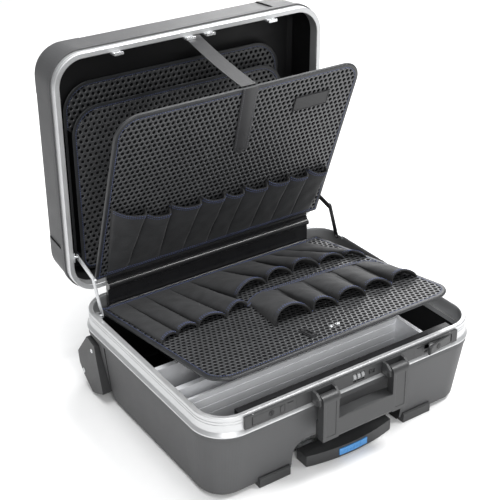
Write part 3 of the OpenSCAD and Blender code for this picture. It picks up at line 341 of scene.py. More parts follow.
def scatter_tree():
    """One shape put on every point of a mesh, at one size."""
    if "Repeat on points" in bpy.data.node_groups:
        return bpy.data.node_groups["Repeat on points"]
    tree, start, end = geometry_tree("Repeat on points", [
        ("Shape", "NodeSocketObject", None), ("Size", "NodeSocketFloat", 1.0),
        ("Finish", "NodeSocketMaterial", None)])
    info = grow(tree, "GeometryNodeObjectInfo", transform_space="ORIGINAL")
    put = grow(tree, "GeometryNodeInstanceOnPoints")
    real = grow(tree, "GeometryNodeRealizeInstances")
    paint = grow(tree, "GeometryNodeSetMaterial")
    plug(tree, (start.outputs["Shape"], info.inputs["Object"]), (start.outputs["Geometry"], put.inputs["Points"]),
         (info.outputs["Geometry"], put.inputs["Instance"]), (start.outputs["Size"], put.inputs["Scale"]),
         (put.outputs["Instances"], real.inputs["Geometry"]), (real.outputs["Geometry"], paint.inputs["Geometry"]),
         (start.outputs["Finish"], paint.inputs["Material"]), (paint.outputs["Geometry"], end.inputs["Geometry"]))
    return tree


def grown_piece(name, seed, tree, values, place=None, smooth=True, flip=False, merge=None):
    """Runs a geometry tree on a seed mesh and keeps the result as a plain mesh piece."""
    mod = seed.modifiers.new("Tree", "NODES")
    mod.node_group = tree
    for item in tree.interface.items_tree:
        if item.item_type == "SOCKET" and item.in_out == "INPUT" and item.name in values:
            mod[item.identifier] = values[item.name]
    bpy.context.view_layer.update()
    graph = bpy.context.evaluated_depsgraph_get()
    mesh = bpy.data.meshes.new_from_object(seed.evaluated_get(graph), depsgraph=graph)
    seed.modifiers.remove(mod)
    old = seed.data
    bpy.data.objects.remove(seed)
    bpy.data.meshes.remove(old)
    co = np.zeros(len(mesh.vertices) * 3, np.float32)
    mesh.vertices.foreach_get("co", co)
    if place is not None:
        mesh.vertices.foreach_set("co", place(co.reshape(-1, 3)).astype(np.float32).ravel())
    if flip or merge:
        bm = bmesh.new()
        bm.from_mesh(mesh)
        if merge:
            bmesh.ops.remove_doubles(bm, verts=bm.verts, dist=merge)
        if flip:
            bmesh.ops.reverse_faces(bm, faces=bm.faces)
        bm.to_mesh(mesh)
        bm.free()
    mesh.update()
    mesh.name = name
    if smooth:
        mesh.shade_smooth()
    obj = bpy.data.objects.new(name, mesh)
    bpy.context.scene.collection.objects.link(obj)
    return obj


def wire(name, runs):
    """A mesh of edges only, from lists of points; a run whose ends meet is closed."""
    verts, edges = [], []
    for run in runs:
        run = np.asarray(run, float)
        n, loop = len(verts), np.linalg.norm(run[0] - run[-1]) < 1e-9
        if loop:
            run = run[:-1]
        verts += [tuple(p) for p in run]
        edges += [(n + i, n + i + 1) for i in range(len(run) - 1)]
        if loop:
            edges.append((n + len(run) - 1, n))
    mesh = bpy.data.meshes.new(name)
    mesh.from_pydata(verts, edges, [])
    obj = bpy.data.objects.new(name, mesh)
    bpy.context.scene.collection.objects.link(obj)
    return obj


def stitched(name, runs, body, place, finish="thread"):
    sizes = bpy.context.scene.case_sizes
    piece = grown_piece(name, wire(name + "_path", [place(r) for r in runs]), stitch_tree(), {
        "Spacing": sizes.stitch_spacing, "Stitch": sizes.stitch_length, "Thread": sizes.thread_width,
        "Finish": material(finish)})
    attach(piece, body)
    return piece


def perforated(name, loop, keep_off, pitch, rows, hole, body, place, flip=False, top=0.0005):
    """A facing of staggered holes inside a loop, built from one ring-shaped cell."""
    depth, bevel = 0.0005, 0.00026
    spokes = [math.radians(30 * k) for k in range(12)]
    tall = rows / (pitch * math.sqrt(3) / 2)
    ring = []
    for k, a in enumerate(spokes):
        edge = pitch / 2 / (1.0 if k % 2 == 0 else math.cos(math.radians(30)))
        ring.append((edge * math.cos(a), edge * tall * math.sin(a), top))
    for radius, height in ((hole / 2, top - bevel), (hole / 2 * 0.97, top - depth)):
        ring += [(radius * math.cos(a), radius * tall * math.sin(a), height) for a in spokes]
    faces = [[r * 12 + k, r * 12 + (k + 1) % 12, (r + 1) * 12 + (k + 1) % 12, (r + 1) * 12 + k]
             for r in range(2) for k in range(12)]
    cell = make_piece(name + "_cell", ring, faces, recalc=False, smooth=False)
    xs, vs = loop[:, 0], loop[:, 1]
    edge_a, edge_b = loop, np.roll(loop, -1, 0)
    span = edge_b - edge_a
    points = []
    row, v = 0, vs.min()
    while v < vs.max():
        for x in np.arange(-abs(xs).max() - pitch, abs(xs).max() + pitch, pitch):
            p = np.array([x + (pitch / 2 if row % 2 else 0), v])
            side = span[:, 0] * (p[1] - edge_a[:, 1]) - span[:, 1] * (p[0] - edge_a[:, 0])
            if (side / np.maximum(np.linalg.norm(span, axis=1), 1e-9) > keep_off).all():
                points.append((p[0], p[1], 0.0))
        row, v = row + 1, v + rows
    mesh = bpy.data.meshes.new(name + "_points")
    mesh.from_pydata(points, [], [])
    seed = bpy.data.objects.new(name + "_points", mesh)
    bpy.context.scene.collection.objects.link(seed)
    piece = grown_piece(name, seed, scatter_tree(), {"Shape": cell, "Size": 1.0, "Finish": material("board_face")},
                        place, flip=flip, merge=0.00002)
    bpy.data.objects.remove(cell)
    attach(piece, body)
    return piece


# ---------------------------------------------------------------- finishes

FINISHES = {}


def material(name):
    if name not in FINISHES:
        title, colour, rough, more = FINISH_SPECS[name]
        if isinstance(colour, str):
            colour = getattr(bpy.context.scene.case_colours, colour)
        FINISHES[name] = surface(title, colour, rough, **more)
    return FINISHES[name]


def shade(colour, k):
    return tuple(min(1.0, c * k) for c in colour[:3]) + (1.0,)


FINE_SHARE = 0.55                            # of the fine grain in the mixed noise; the rest is blotches
NOISE_LOW, NOISE_HIGH = 0.3, 0.7             # where the noise reaches a finish's extremes
RIPPLE = 0.014                               # size of the cloths' broad ripples
# Near-black painted shade for the inner faces of a cavity
PAINTED_INSIDE_SHADE = (0.003, 0.003, 0.0035, 1)
# Near-black painted shade for the cloth's creases
PAINTED_CREASE_SHADE = (0.002, 0.002, 0.0025, 1)


def surface(name, colour, rough, swing=0.08, tone=0.25, grain=0.0012, bump=0.00008, broad=0.0, metallic=0.0,
            streak=None, coat=0.0, sheen=0.0, ease=0.0, inner=None, spec=0.5, blotch=0.03, crease_shade_reach=0.0):
    """A finish whose colour, gloss and relief vary by grain size.

    ease rounds edges, broad adds ripples, inner is the middle of a cavity whose inner faces get a near-black
    painted shade, and crease_shade_reach is how near faces are when they paint shade on each other in creases."""
    mat = bpy.data.materials.new(name)
    mat.use_nodes = True
    tree = mat.node_tree
    tree.nodes.clear()
    out = grow(tree, "ShaderNodeOutputMaterial")
    skin_node = grow(tree, "ShaderNodeBsdfPrincipled", {
        "Metallic": metallic, "Coat Weight": coat, "Coat Roughness": 0.25, "Sheen Weight": sheen,
        "Sheen Roughness": 0.5, "Specular IOR Level": spec})
    coords = grow(tree, "ShaderNodeTexCoord")
    where = fine_at = coords.outputs["Object"]
    if streak:
        stretch = grow(tree, "ShaderNodeMapping", {"Scale": streak})
        plug(tree, (where, stretch.inputs["Vector"]))
        fine_at = stretch.outputs["Vector"]
    fine = grow(tree, "ShaderNodeTexNoise", {"Scale": 1 / grain, "Detail": 3})
    wide = grow(tree, "ShaderNodeTexNoise", {"Scale": 1 / blotch, "Detail": 2})
    mixed = grow(tree, "ShaderNodeMath", {1: FINE_SHARE}, operation="MULTIPLY_ADD")
    scaled = grow(tree, "ShaderNodeMath", {1: 1 - FINE_SHARE}, operation="MULTIPLY")
    plug(tree, (fine_at, fine.inputs["Vector"]), (where, wide.inputs["Vector"]),
         (wide.outputs["Fac"], scaled.inputs[0]), (fine.outputs["Fac"], mixed.inputs[0]),
         (scaled.outputs[0], mixed.inputs[2]))
    ramp = grow(tree, "ShaderNodeValToRGB")
    for stop, at, k in zip(ramp.color_ramp.elements, (NOISE_LOW, NOISE_HIGH), (1 - tone, 1 + tone)):
        stop.position, stop.color = at, shade(colour, k)
    plug(tree, (mixed.outputs[0], ramp.inputs["Fac"]))
    tint = ramp.outputs["Color"]
    # Painted shade: faces that look towards the cavity's middle are turned near-black
    if inner:
        mix = grow(tree, "ShaderNodeMix", data_type="RGBA")
        mix.inputs["B"].default_value = PAINTED_INSIDE_SHADE
        plug(tree, (looks_at(tree, where, coords, inner), mix.inputs["Factor"]), (tint, mix.inputs["A"]))
        tint = mix.outputs["Result"]
    # Painted shade: ambient occlusion turns the colour towards near-black where faces lie close, in creases and
    # under folds
    if crease_shade_reach:
        open_sky = grow(tree, "ShaderNodeAmbientOcclusion", {"Distance": crease_shade_reach}, samples=6)
        steep = grow(tree, "ShaderNodeMath", {1: 2.2}, operation="POWER")
        mix = grow(tree, "ShaderNodeMix", data_type="RGBA")
        mix.inputs["A"].default_value = PAINTED_CREASE_SHADE
        plug(tree, (open_sky.outputs["AO"], steep.inputs[0]), (steep.outputs[0], mix.inputs["Factor"]),
             (tint, mix.inputs["B"]))
        tint = mix.outputs["Result"]
    gloss = grow(tree, "ShaderNodeMapRange", {
        "From Min": NOISE_LOW, "From Max": NOISE_HIGH, "To Min": max(0.03, rough - swing),
        "To Max": min(1.0, rough + swing)})
    relief = grow(tree, "ShaderNodeBump", {"Strength": 1.0, "Distance": bump})
    plug(tree, (tint, skin_node.inputs["Base Color"]), (mixed.outputs[0], gloss.inputs["Value"]),
         (gloss.outputs["Result"], skin_node.inputs["Roughness"]), (fine.outputs["Fac"], relief.inputs["Height"]))
    if ease:
        soft = grow(tree, "ShaderNodeBevel", {"Radius": ease}, samples=4)
        plug(tree, (soft.outputs["Normal"], relief.inputs["Normal"]))
    last = relief
    if broad:
        ripple = grow(tree, "ShaderNodeTexNoise", {"Scale": 1 / RIPPLE, "Detail": 2})
        last = grow(tree, "ShaderNodeBump", {"Strength": 1.0, "Distance": broad})
        plug(tree, (where, ripple.inputs["Vector"]), (ripple.outputs["Fac"], last.inputs["Height"]),
             (relief.outputs["Normal"], last.inputs["Normal"]))
    plug(tree, (last.outputs["Normal"], skin_node.inputs["Normal"]),
         (skin_node.outputs["BSDF"], out.inputs["Surface"]))
    return mat


def looks_at(tree, where, coords, centre):
    """1 on faces that look towards a point of the cavity."""
    offset = grow(tree, "ShaderNodeVectorMath", {1: centre}, operation="SUBTRACT")
    dot = grow(tree, "ShaderNodeVectorMath", operation="DOT_PRODUCT")
    under = grow(tree, "ShaderNodeMath", {1: 0.0}, operation="LESS_THAN")
    plug(tree, (where, offset.inputs[0]), (offset.outputs[0], dot.inputs[0]),
         (coords.outputs["Normal"], dot.inputs[1]), (dot.outputs["Value"], under.inputs[0]))
    return under.outputs[0]


# Each finish: title, colour or the name of a colour setting, roughness, and what differs from the defaults
FINISH_SPECS = {
    # The shells' inner faces get a near-black painted shade, by facing towards the cavity's middle
    "base_plastic": ("Moulded base shell", "shell", 0.55, dict(tone=0.14, grain=0.0009, bump=0.00014, ease=0.0012,
        inner=(0.0, 0.0, 0.118), spec=0.4)),
    "lid_plastic": ("Moulded lid shell", "shell", 0.55, dict(tone=0.14, grain=0.0009, bump=0.00014, ease=0.0012,
        inner=(0.0, 0.25, 0.38), spec=0.4)),
    "frame_satin": ("Satin frame aluminium", "frame", 0.4, dict(swing=0.05, tone=0.05, grain=0.0006, bump=0.000012,
        metallic=0.7, streak=(0.05, 0.05, 1.0), ease=0.0006)),
    "divider_satin": ("Drawn divider aluminium", (0.92, 0.93, 0.96), 0.36, dict(swing=0.06, tone=0.05, grain=0.0007,
        bump=0.00002, metallic=0.1, streak=(0.03, 1.0, 1.0), ease=0.0004)),
    "tube_satin": ("Drawn tube aluminium", (0.78, 0.79, 0.8), 0.3, dict(swing=0.06, tone=0.05, grain=0.0006,
        bump=0.00001, metallic=1.0, streak=(1.0, 0.03, 1.0), ease=0.0004)),
    "bright_metal": ("Bright hasp metal", (0.85, 0.86, 0.87), 0.25, dict(swing=0.06, tone=0.06, grain=0.0008,
        bump=0.00002, metallic=0.8, ease=0.0004)),
    "steel": ("Plated steel", (0.62, 0.63, 0.64), 0.35, dict(swing=0.1, tone=0.1, grain=0.001, bump=0.00002,
        metallic=0.8, ease=0.0003)),
    "dark_steel": ("Blackened steel", (0.02, 0.02, 0.021), 0.42, dict(swing=0.1, tone=0.25, grain=0.001,
        bump=0.00003, metallic=0.2, ease=0.0003)),
    "plate_plastic": ("Dark lock plate plastic", "plate", 0.45, dict(tone=0.14, grain=0.0008, bump=0.00008,
        ease=0.0005)),
    "handle_plastic": ("Dark handle plastic", (0.032, 0.0325, 0.0335), 0.42, dict(tone=0.12, grain=0.0008,
        bump=0.0001, ease=0.0009)),
    "black_plastic": ("Black trim plastic", (0.012, 0.012, 0.013), 0.42, dict(tone=0.2, grain=0.0009, bump=0.00008,
        ease=0.0005, spec=0.35)),
    "rubber": ("Wheel rubber", (0.02, 0.02, 0.021), 0.75, dict(tone=0.25, grain=0.001, bump=0.00014, ease=0.0006,
        spec=0.3)),
    "button": ("Blue button plastic", "button", 0.4, dict(tone=0.06, grain=0.0008, bump=0.00006, ease=0.0008)),
    "dial": ("Light dial plastic", (0.3, 0.305, 0.31), 0.5, dict(tone=0.1, grain=0.0009, bump=0.00005,
        ease=0.0003)),
    "spine_gloss": ("Glossy spine leathercloth", (0.008, 0.008, 0.009), 0.3, dict(swing=0.05, tone=0.2,
        grain=0.0011, bump=0.00003, coat=0.5)),
    "board_face": ("Perforated board facing", "board", 0.36, dict(swing=0.08, tone=0.25, grain=0.0012, bump=0.00005,
        coat=0.2)),
    "board_back": ("Black board lining", (0.0025, 0.0025, 0.003), 0.85, dict(tone=0.3, grain=0.0012, bump=0.00008,
        spec=0.08)),
    "binding": ("Board binding", "binding", 0.45, dict(tone=0.22, grain=0.0011, bump=0.0001, broad=0.0003)),
    # The pockets' leathercloth gets painted shade in its creases
    "leathercloth": ("Pocket leathercloth", "leathercloth", 0.62, dict(swing=0.09, tone=0.45, grain=0.0013,
        bump=0.00022, broad=0.0006, sheen=0.1, blotch=0.02, spec=0.25, crease_shade_reach=0.016)),
    "strap_cloth": ("Strap leathercloth", (0.024, 0.024, 0.0255), 0.42, dict(tone=0.18, grain=0.0010, bump=0.00012,
        broad=0.0003, coat=0.15, spec=0.4)),
    "thread": ("Blue-grey thread", "thread", 0.6, dict(tone=0.25, grain=0.0006, bump=0.00008)),
    "grey_thread": ("Grey thread", (0.10, 0.10, 0.11), 0.6, dict(tone=0.25, grain=0.0006, bump=0.00008)),
}


def dressed(obj, finish):
    obj.data.materials.clear()
    obj.data.materials.append(material(finish))
    return obj


# ---------------------------------------------------------------- what a user would change

class CaseSizes(bpy.types.PropertyGroup):
    """Sizes of the sewn and perforated work."""
    hole_pitch: FloatProperty(name="Hole pitch", description="Distance between the boards' holes", default=0.0087,
                              min=0.006, max=0.012, unit="LENGTH")
    hole_rows: FloatProperty(name="Hole rows", description="Distance between rows of the boards' holes",
                             default=0.0088, min=0.006, max=0.012, unit="LENGTH")
    hole: FloatProperty(name="Hole", description="Width of the boards' holes", default=0.0060, min=0.003,
                        max=0.008, unit="LENGTH")
    binding_width: FloatProperty(name="Binding width", description="Width of the rim sewn round a board",
                                 default=0.009, min=0.006, max=0.014, unit="LENGTH")
    cloth_thickness: FloatProperty(name="Leathercloth", description="Thickness of the pockets' leathercloth",
                                   default=0.0012, min=0.0008, max=0.002, unit="LENGTH")
    hem: FloatProperty(name="Hem", description="Depth of the folded hem at a pocket's mouth", default=0.006,
                       min=0.003, max=0.01, unit="LENGTH")
    stitch_length: FloatProperty(name="Stitch length", description="Length of one stitch", default=0.0030,
                                 min=0.002, max=0.006, unit="LENGTH")
    stitch_spacing: FloatProperty(name="Stitch spacing", description="Distance between stitches", default=0.0040,
                                  min=0.003, max=0.008, unit="LENGTH")
    thread_width: FloatProperty(name="Thread width", description="Width of the thread", default=0.0009,
                                min=0.0004, max=0.0015, unit="LENGTH")
    strap_width: FloatProperty(name="Strap width", description="Width of the board's strap", default=0.028,
                               min=0.02, max=0.036, unit="LENGTH")


class CaseColours(bpy.types.PropertyGroup):
    """Colours of the case."""
    shell: FloatVectorProperty(name="Shell", description="Moulded shells", default=(0.070, 0.0705, 0.0725),
                               subtype="COLOR", min=0, max=1)
    frame: FloatVectorProperty(name="Frame", description="Satin frames", default=(0.58, 0.585, 0.59),
                               subtype="COLOR", min=0, max=1)
    plate: FloatVectorProperty(name="Lock plates", description="Plates on the front",
                               default=(0.030, 0.0305, 0.0315), subtype="COLOR", min=0, max=1)
    board: FloatVectorProperty(name="Boards", description="Perforated facings", default=(0.052, 0.053, 0.055),
                               subtype="COLOR", min=0, max=1)
    binding: FloatVectorProperty(name="Bindings", description="Rims of the boards", default=(0.022, 0.023, 0.025),
                                 subtype="COLOR", min=0, max=1)
    leathercloth: FloatVectorProperty(name="Leathercloth", description="Pockets", default=(0.026, 0.0265, 0.028),
                                      subtype="COLOR", min=0, max=1)
    thread: FloatVectorProperty(name="Thread", description="Stitching", default=(0.08, 0.105, 0.24),
                                subtype="COLOR", min=0, max=1)
    button: FloatVectorProperty(name="Button", description="Pull handle's button", default=(0.075, 0.28, 0.62),
                                subtype="COLOR", min=0, max=1)


# ---------------------------------------------------------------- operators

class CASE_OT_stage(bpy.types.Operator):
    """Lays the pale floor, hangs the soft lights and places the camera"""
    bl_idname = "tool_case.stage"
    bl_label = "Stage"

    def execute(self, context):
        scene = context.scene
        floor = make_piece("floor", [(-9, -9, 0), (9, -9, 0), (9, 9, 0), (-9, 9, 0)], [[0, 1, 2, 3]], recalc=False,
                           smooth=False)
        paper = surface("Pale studio floor", (0.93, 0.93, 0.93), 0.9, tone=0.01, grain=0.02, bump=0.0, blotch=0.5)
        floor.data.materials.append(paper)
        scene.view_settings.view_transform = "Standard"
        world = bpy.data.worlds.new("Studio")
        world.use_nodes = True
        sky = world.node_tree.nodes["Background"]
        sky.inputs["Color"].default_value = (0.97, 0.985, 1.0, 1)
        sky.inputs["Strength"].default_value = 0.33
        scene.world = world
        for name, place, aim, size, power in (
                ("key_softbox", (1.2, -0.6, 2.4), (0.0, 0.05, 0.15), 0.9, 58),
                ("top_softbox", (-0.4, 0.2, 2.7), (0.0, 0.0, 0.1), 1.8, 48),
                ("front_softbox", (-0.9, -2.2, 1.5), (0.0, -0.05, 0.2), 1.2, 34),
                ("rear_softbox", (1.5, 1.7, 1.3), (0.1, 0.0, 0.2), 1.3, 30)):
            lamp = bpy.data.lights.new(name, "AREA")
            lamp.shape, lamp.size, lamp.energy = "SQUARE", size, power
            obj = bpy.data.objects.new(name, lamp)
            scene.collection.objects.link(obj)
            obj.visible_camera = False
            obj.location = place
            obj.rotation_mode = "QUATERNION"
            obj.rotation_quaternion = (Vector(place) - Vector(aim)).normalized().to_track_quat("Z", "Y")
        camera = bpy.data.cameras.new("camera")
        camera.sensor_width = 36
        camera.lens = 82.51
        camera.shift_x, camera.shift_y = -0.0067, -0.0473
        camera.clip_start, camera.clip_end = 0.05, 60
        obj = bpy.data.objects.new("camera", camera)
        scene.collection.objects.link(obj)
        az, el, roll = CAMERA_TURN
        back = np.array([math.sin(az) * math.cos(el), -math.cos(az) * math.cos(el), math.sin(el)])
        right = np.cross(-back, [0, 0, 1])
        right /= np.linalg.norm(right)
        up = np.cross(right, -back)
        r = right * math.cos(roll) + up * math.sin(roll)
        u = -right * math.sin(roll) + up * math.cos(roll)
        m = np.vstack([np.column_stack([r, u, back, CAMERA_AT]), [0, 0, 0, 1]])
        obj.matrix_world = Matrix(m.tolist())
        scene.camera = obj
        return {"FINISHED"}


CAD_FINISHES = {
    "base_plastic": ["base_shell"],
    "lid_plastic": ["lid_shell"],
    "frame_satin": ["base_frame", "lid_frame"],
    "divider_satin": ["divider_front", "divider_middle", "divider_rear", "divider_cross"],
    "tube_satin": ["trolley_outer_tubes", "trolley_middle_tubes", "trolley_inner_tubes"],
    "bright_metal": ["lid_hasps", "housing_screws"],
    "steel": ["latch_pins", "dial_axle", "wheel_axles", "hinge_pin", "hinge_base_leaf",
              "hinge_lid_leaf", "stay_base_studs", "stay_lid_studs", "stay_lower_left", "stay_upper_left"],
    "dark_steel": ["key_cylinder_left", "key_cylinder_right", "handle_pins", "stay_lower_right",
                   "stay_upper_right"],
    "plate_plastic": ["lock_plate_left", "lock_plate_right", "handle_plate", "latch_lever_left",
                      "latch_lever_right", "lock_slider", "wheel_housing_left", "wheel_housing_right", "feet",
                      "trolley_mount", "handle_brackets"],
    "handle_plastic": ["carry_handle", "trolley_grip"],
    "black_plastic": ["front_trim"],
    "rubber": ["wheel_left", "wheel_right"],
    "button": ["trolley_button"],
    "dial": ["dial_1", "dial_2", "dial_3"],
}


class CASE_OT_hard_parts(bpy.types.Operator):
    """Gives each moulded, drawn and turned part its finish"""
    bl_idname = "tool_case.hard_parts"
    bl_label = "Hard parts"

    def execute(self, context):
        for finish, names in CAD_FINISHES.items():
            for name in names:
                dressed(NODES[name], finish)
        return {"FINISHED"}


def board(node, spec, place, flip, body):
    """A panel with black lining, a perforated facing, a sewn rim and its stitching."""
    sizes = bpy.context.scene.case_sizes
    half, top = BOARD_W / 2, spec["length"]
    loop = refined(rounded_loop(half, ROD_GAP, top, BOARD_R), 0.03)
    inner = loop + mitres(loop) * 0.004
    core = make_piece(node + "_core", *slab(inner, -BOARD_T + 0.0006, -0.0001), place=place, smooth=False)
    dressed(core, "board_back")
    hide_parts(node)
    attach(core, body)
    bar = round_bar(sizes.binding_width, BOARD_T + 0.0014, 0.0024, low=-BOARD_T - 0.0007)
    rim = make_piece(node + "_binding", *plane_sweep(loop, bar), place=place)
    dressed(rim, "binding")
    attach(rim, body)
    perforated(node + "_facing", loop, sizes.binding_width - 0.0045, sizes.hole_pitch, sizes.hole_rows,
               sizes.hole, body, place, flip)
    run = loop + mitres(loop) * (sizes.binding_width - 0.0022)
    run = np.column_stack([run, np.full(len(run), 0.00078)])
    stitched(node + "_stitching", [np.vstack([run, run[:1]])], body, place)


class CASE_OT_boards(bpy.types.Operator):
    """Builds the two hinged tool boards"""
    bl_idname = "tool_case.boards"
    bl_label = "Tool boards"

    def execute(self, context):
        board("upper_board", UPPER, on_upper, False, "upper_panel")
        board("lower_board", LOWER, on_lower, True, "lower_panel")
        return {"FINISHED"}


def arch(s, peak):
    """Section of a pocket: a rounded arch, or with its peak far over, a slope that folds back."""
    if peak < 0.8:
        return math.sin(math.pi * s ** (math.log(0.5) / math.log(peak))) ** 0.5 if 0 < s < 1 else 0.0
    if s < 0.06:
        return 0.36 * math.sin(math.pi / 2 * s / 0.06)
    if s < peak:
        return 0.36 + 0.64 * ((s - 0.06) / (peak - 0.06)) ** 0.8
    return max(0.0, math.cos(math.pi / 2 * (s - peak) / (1 - peak))) ** 0.7


def band_height(x):
    return float(np.interp(x, [p[0] for p in FRONT_BAND], [p[1] for p in FRONT_BAND]))


def pocket_point(pocket, s, t, sag, foot_v):
    """A point of a pocket's front, in millimetres: s across, t from closed end to mouth."""
    x0, v0, x1, v1, f0, f1, lift, peak = pocket
    foot_x, mouth_x = f0 * (1 - s) + f1 * s, x0 * (1 - s) + x1 * s
    x = foot_x * (1 - t) + mouth_x * t
    v = foot_v(foot_x) * (1 - t) + (v0 * (1 - s) + v1 * s) * t
    rise = arch(s, peak)
    crease = (math.sin(0.11 * x + 0.05 * v + x0) + math.sin(0.19 * x - 0.13 * v + 2.1 * f0)
              + 0.7 * math.sin(0.31 * x + 0.07 * v)) / 2.7
    n = lift * rise * t ** 0.8 + rise * math.sin(math.pi * min(1.0, t * 1.15)) * 0.8 * crease
    return x, v - sag * math.sin(math.pi * s) * t * t, max(n, 0.0)


# Places across a pocket where its mesh has a column of points, closer at the seams
PLEAT_STEPS = (0.0, 0.015, 0.03, 0.06, 0.09, 0.13, 0.18, 0.24, 0.31, 0.38, 0.45, 0.52, 0.59, 0.66, 0.73, 0.79,
               0.84, 0.88, 0.91, 0.94, 0.97, 0.985, 1.0)


def pocket_rows(node, row, place, body, sag, foot_v, along=20):
    """One row of pockets, cut from one piece and pinched to the board at each seam, with a folded hem.

    Returns the cloth, its hem, the cloth's developed width and reach, and the lines of its threads."""
    sizes = bpy.context.scene.case_sizes
    thick, base = sizes.cloth_thickness, 0.0009
    columns = [(pocket, s) for pocket in row for s in PLEAT_STEPS]

    def point(pocket, s, t, out=0.0):
        x, v, n = pocket_point(pocket, s, t, sag, foot_v)
        return x * MM, v * MM, base + n * MM + out

    def from_mouth(pocket, s, d):
        return 1 - d / MM / (pocket[1] * (1 - s) + pocket[3] * s - foot_v(pocket[4]))

    grid = np.array([[point(p, s, j / along) for p, s in columns] for j in range(along + 1)])
    width = float(np.linalg.norm(np.diff(grid[-1], axis=0), axis=1).sum())
    reach = float(np.linalg.norm(np.diff(grid, axis=0), axis=2).sum(0).max())
    across = np.concatenate([[0], np.cumsum(np.linalg.norm(np.diff(grid[along // 2], axis=0), axis=1))])
    uv = np.array([[across[c], r / along * reach] for r in range(along + 1) for c in range(len(columns))])
    cloth = make_piece(node + "_cloth", *skin(grid, thick), place=place, uvs=np.concatenate([uv, uv]), sharp=70)
    dressed(cloth, "leathercloth")
    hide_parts(node)
    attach(cloth, body)
    hem_grid = np.array([[point(p, s, from_mouth(p, s, d)) for p, s in columns]
                         for d in (sizes.hem, sizes.hem * 0.66, sizes.hem * 0.33, 0.0, -0.0004)])
    hem = make_piece(node + "_hem", *skin(hem_grid, thick * 2.1), place=place, sharp=70)
    dressed(hem, "leathercloth")
    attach(hem, body)
    runs = [[point(p, s, from_mouth(p, s, d), thick * 1.2) for p, s in columns]
            for d in (sizes.hem * 0.15, sizes.hem * 0.86)]
    return cloth, hem, width, reach, runs + [[point(p, s, 0.02, thick * 0.7) for p, s in columns]]


def sheet_area(obj):
    """Area of one face of a thin closed sheet."""
    return sum(p.area for p in obj.data.polygons) / 2


class CASE_OT_pockets(bpy.types.Operator):
    """Sews the three rows of pockets to the boards"""
    bl_idname = "tool_case.pockets"
    bl_label = "Tool pockets"

    def execute(self, context):
        flat = lambda x: FLAT_FOOT
        for node, row, place, body, board_node, sag, foot_v in (
                ("upper_pockets", UPPER_ROW, on_upper, "upper_panel", "upper_board_core", 7.0, flat),
                ("lower_pockets_back", BACK_ROW, on_lower, "lower_panel", "lower_board_core", 0.0, flat),
                ("lower_pockets_front", FRONT_ROW, on_lower, "lower_panel", "lower_board_core", 0.0, band_height)):
            cloth, hem, width, reach, runs = pocket_rows(node, row, place, body, sag, foot_v)
            stitches = stitched(node + "_stitching", runs, body, place)
            area = sheet_area(cloth)
            round(max(reach, area / width) * 1.01, 3)
        path = np.array([(x, band_height(x)) for x in np.linspace(FRONT_BAND[0][0], FRONT_BAND[-1][0], 70)])
        path[:, 1] = np.convolve(np.pad(path[:, 1], 3, mode="edge"), np.ones(7) / 7, mode="valid")
        path *= MM
        bar = round_bar(0.009, 0.0028, 0.0013, low=0.0006)
        rim = make_piece("front_row_band", *plane_sweep(path, bar, closed=False), place=on_lower)
        dressed(rim, "leathercloth")
        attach(rim, "lower_panel")
        side = mitres(path, closed=False)
        runs = [np.column_stack([path + side * d, np.full(len(path), 0.0036)]) for d in (0.0016, 0.0074)]
        stitched("front_row_band_stitching", runs, "lower_panel", on_lower)
        return {"FINISHED"}


class CASE_OT_strap(bpy.types.Operator):
    """Cuts the strap that ties the upper board to the lid"""
    bl_idname = "tool_case.strap"
    bl_label = "Board strap"

    def execute(self, context):
        sizes = context.scene.case_sizes
        w, top = sizes.strap_width / 2, UPPER["length"] + 0.002

        def lay(x, d, n):
            """Strap coordinates, d down from the board's top edge."""
            return (STRAP_X + x * math.cos(STRAP_LEAN) + d * math.sin(STRAP_LEAN),
                    top - d * math.cos(STRAP_LEAN), n)

        rows = []
        for d in np.linspace(0.0, STRAP_DOWN, 34):
            end = STRAP_DOWN - d
            half = w if end > w else math.sqrt(max(0.0, w * w - (w - end) ** 2))
            half = max(half, 0.002)
            rows.append([lay(x * half, d, 0.0022 + 0.0004 * math.cos(2.2 * x)) for x in np.linspace(-1, 1, 9)])
        front = make_piece("strap_front", *skin(rows, STRAP_THICK), place=on_upper, sharp=50)
        dressed(front, "strap_cloth")
        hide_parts("strap")
        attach(front, "upper_panel")
        runs = [[lay(side * (w - 0.003), d, 0.0031) for d in np.linspace(0.002, 0.117, 24)] for side in (-1, 1)]
        threads = stitched("strap_front_stitching", runs, "upper_panel", on_upper, "grey_thread")
        lo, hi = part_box("strap_link")
        start, finish = np.array([STRAP_X, lo.y, lo.z]), np.array([STRAP_X, hi.y, hi.z])
        rows = []
        for t in np.linspace(0, 1, 24):
            p = start + (finish - start) * t
            droop = 0.003 * math.sin(math.pi * t)
            rows.append([(STRAP_X + x * w * 0.94 - 0.012 * t, p[1], p[2] - droop) for x in np.linspace(-1, 1, 7)])
        link = make_piece("strap_link_band", *skin(rows, STRAP_THICK), sharp=50)
        dressed(link, "strap_cloth")
        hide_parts("strap_link")
        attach(link, "lid")
        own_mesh(link)
        return {"FINISHED"}


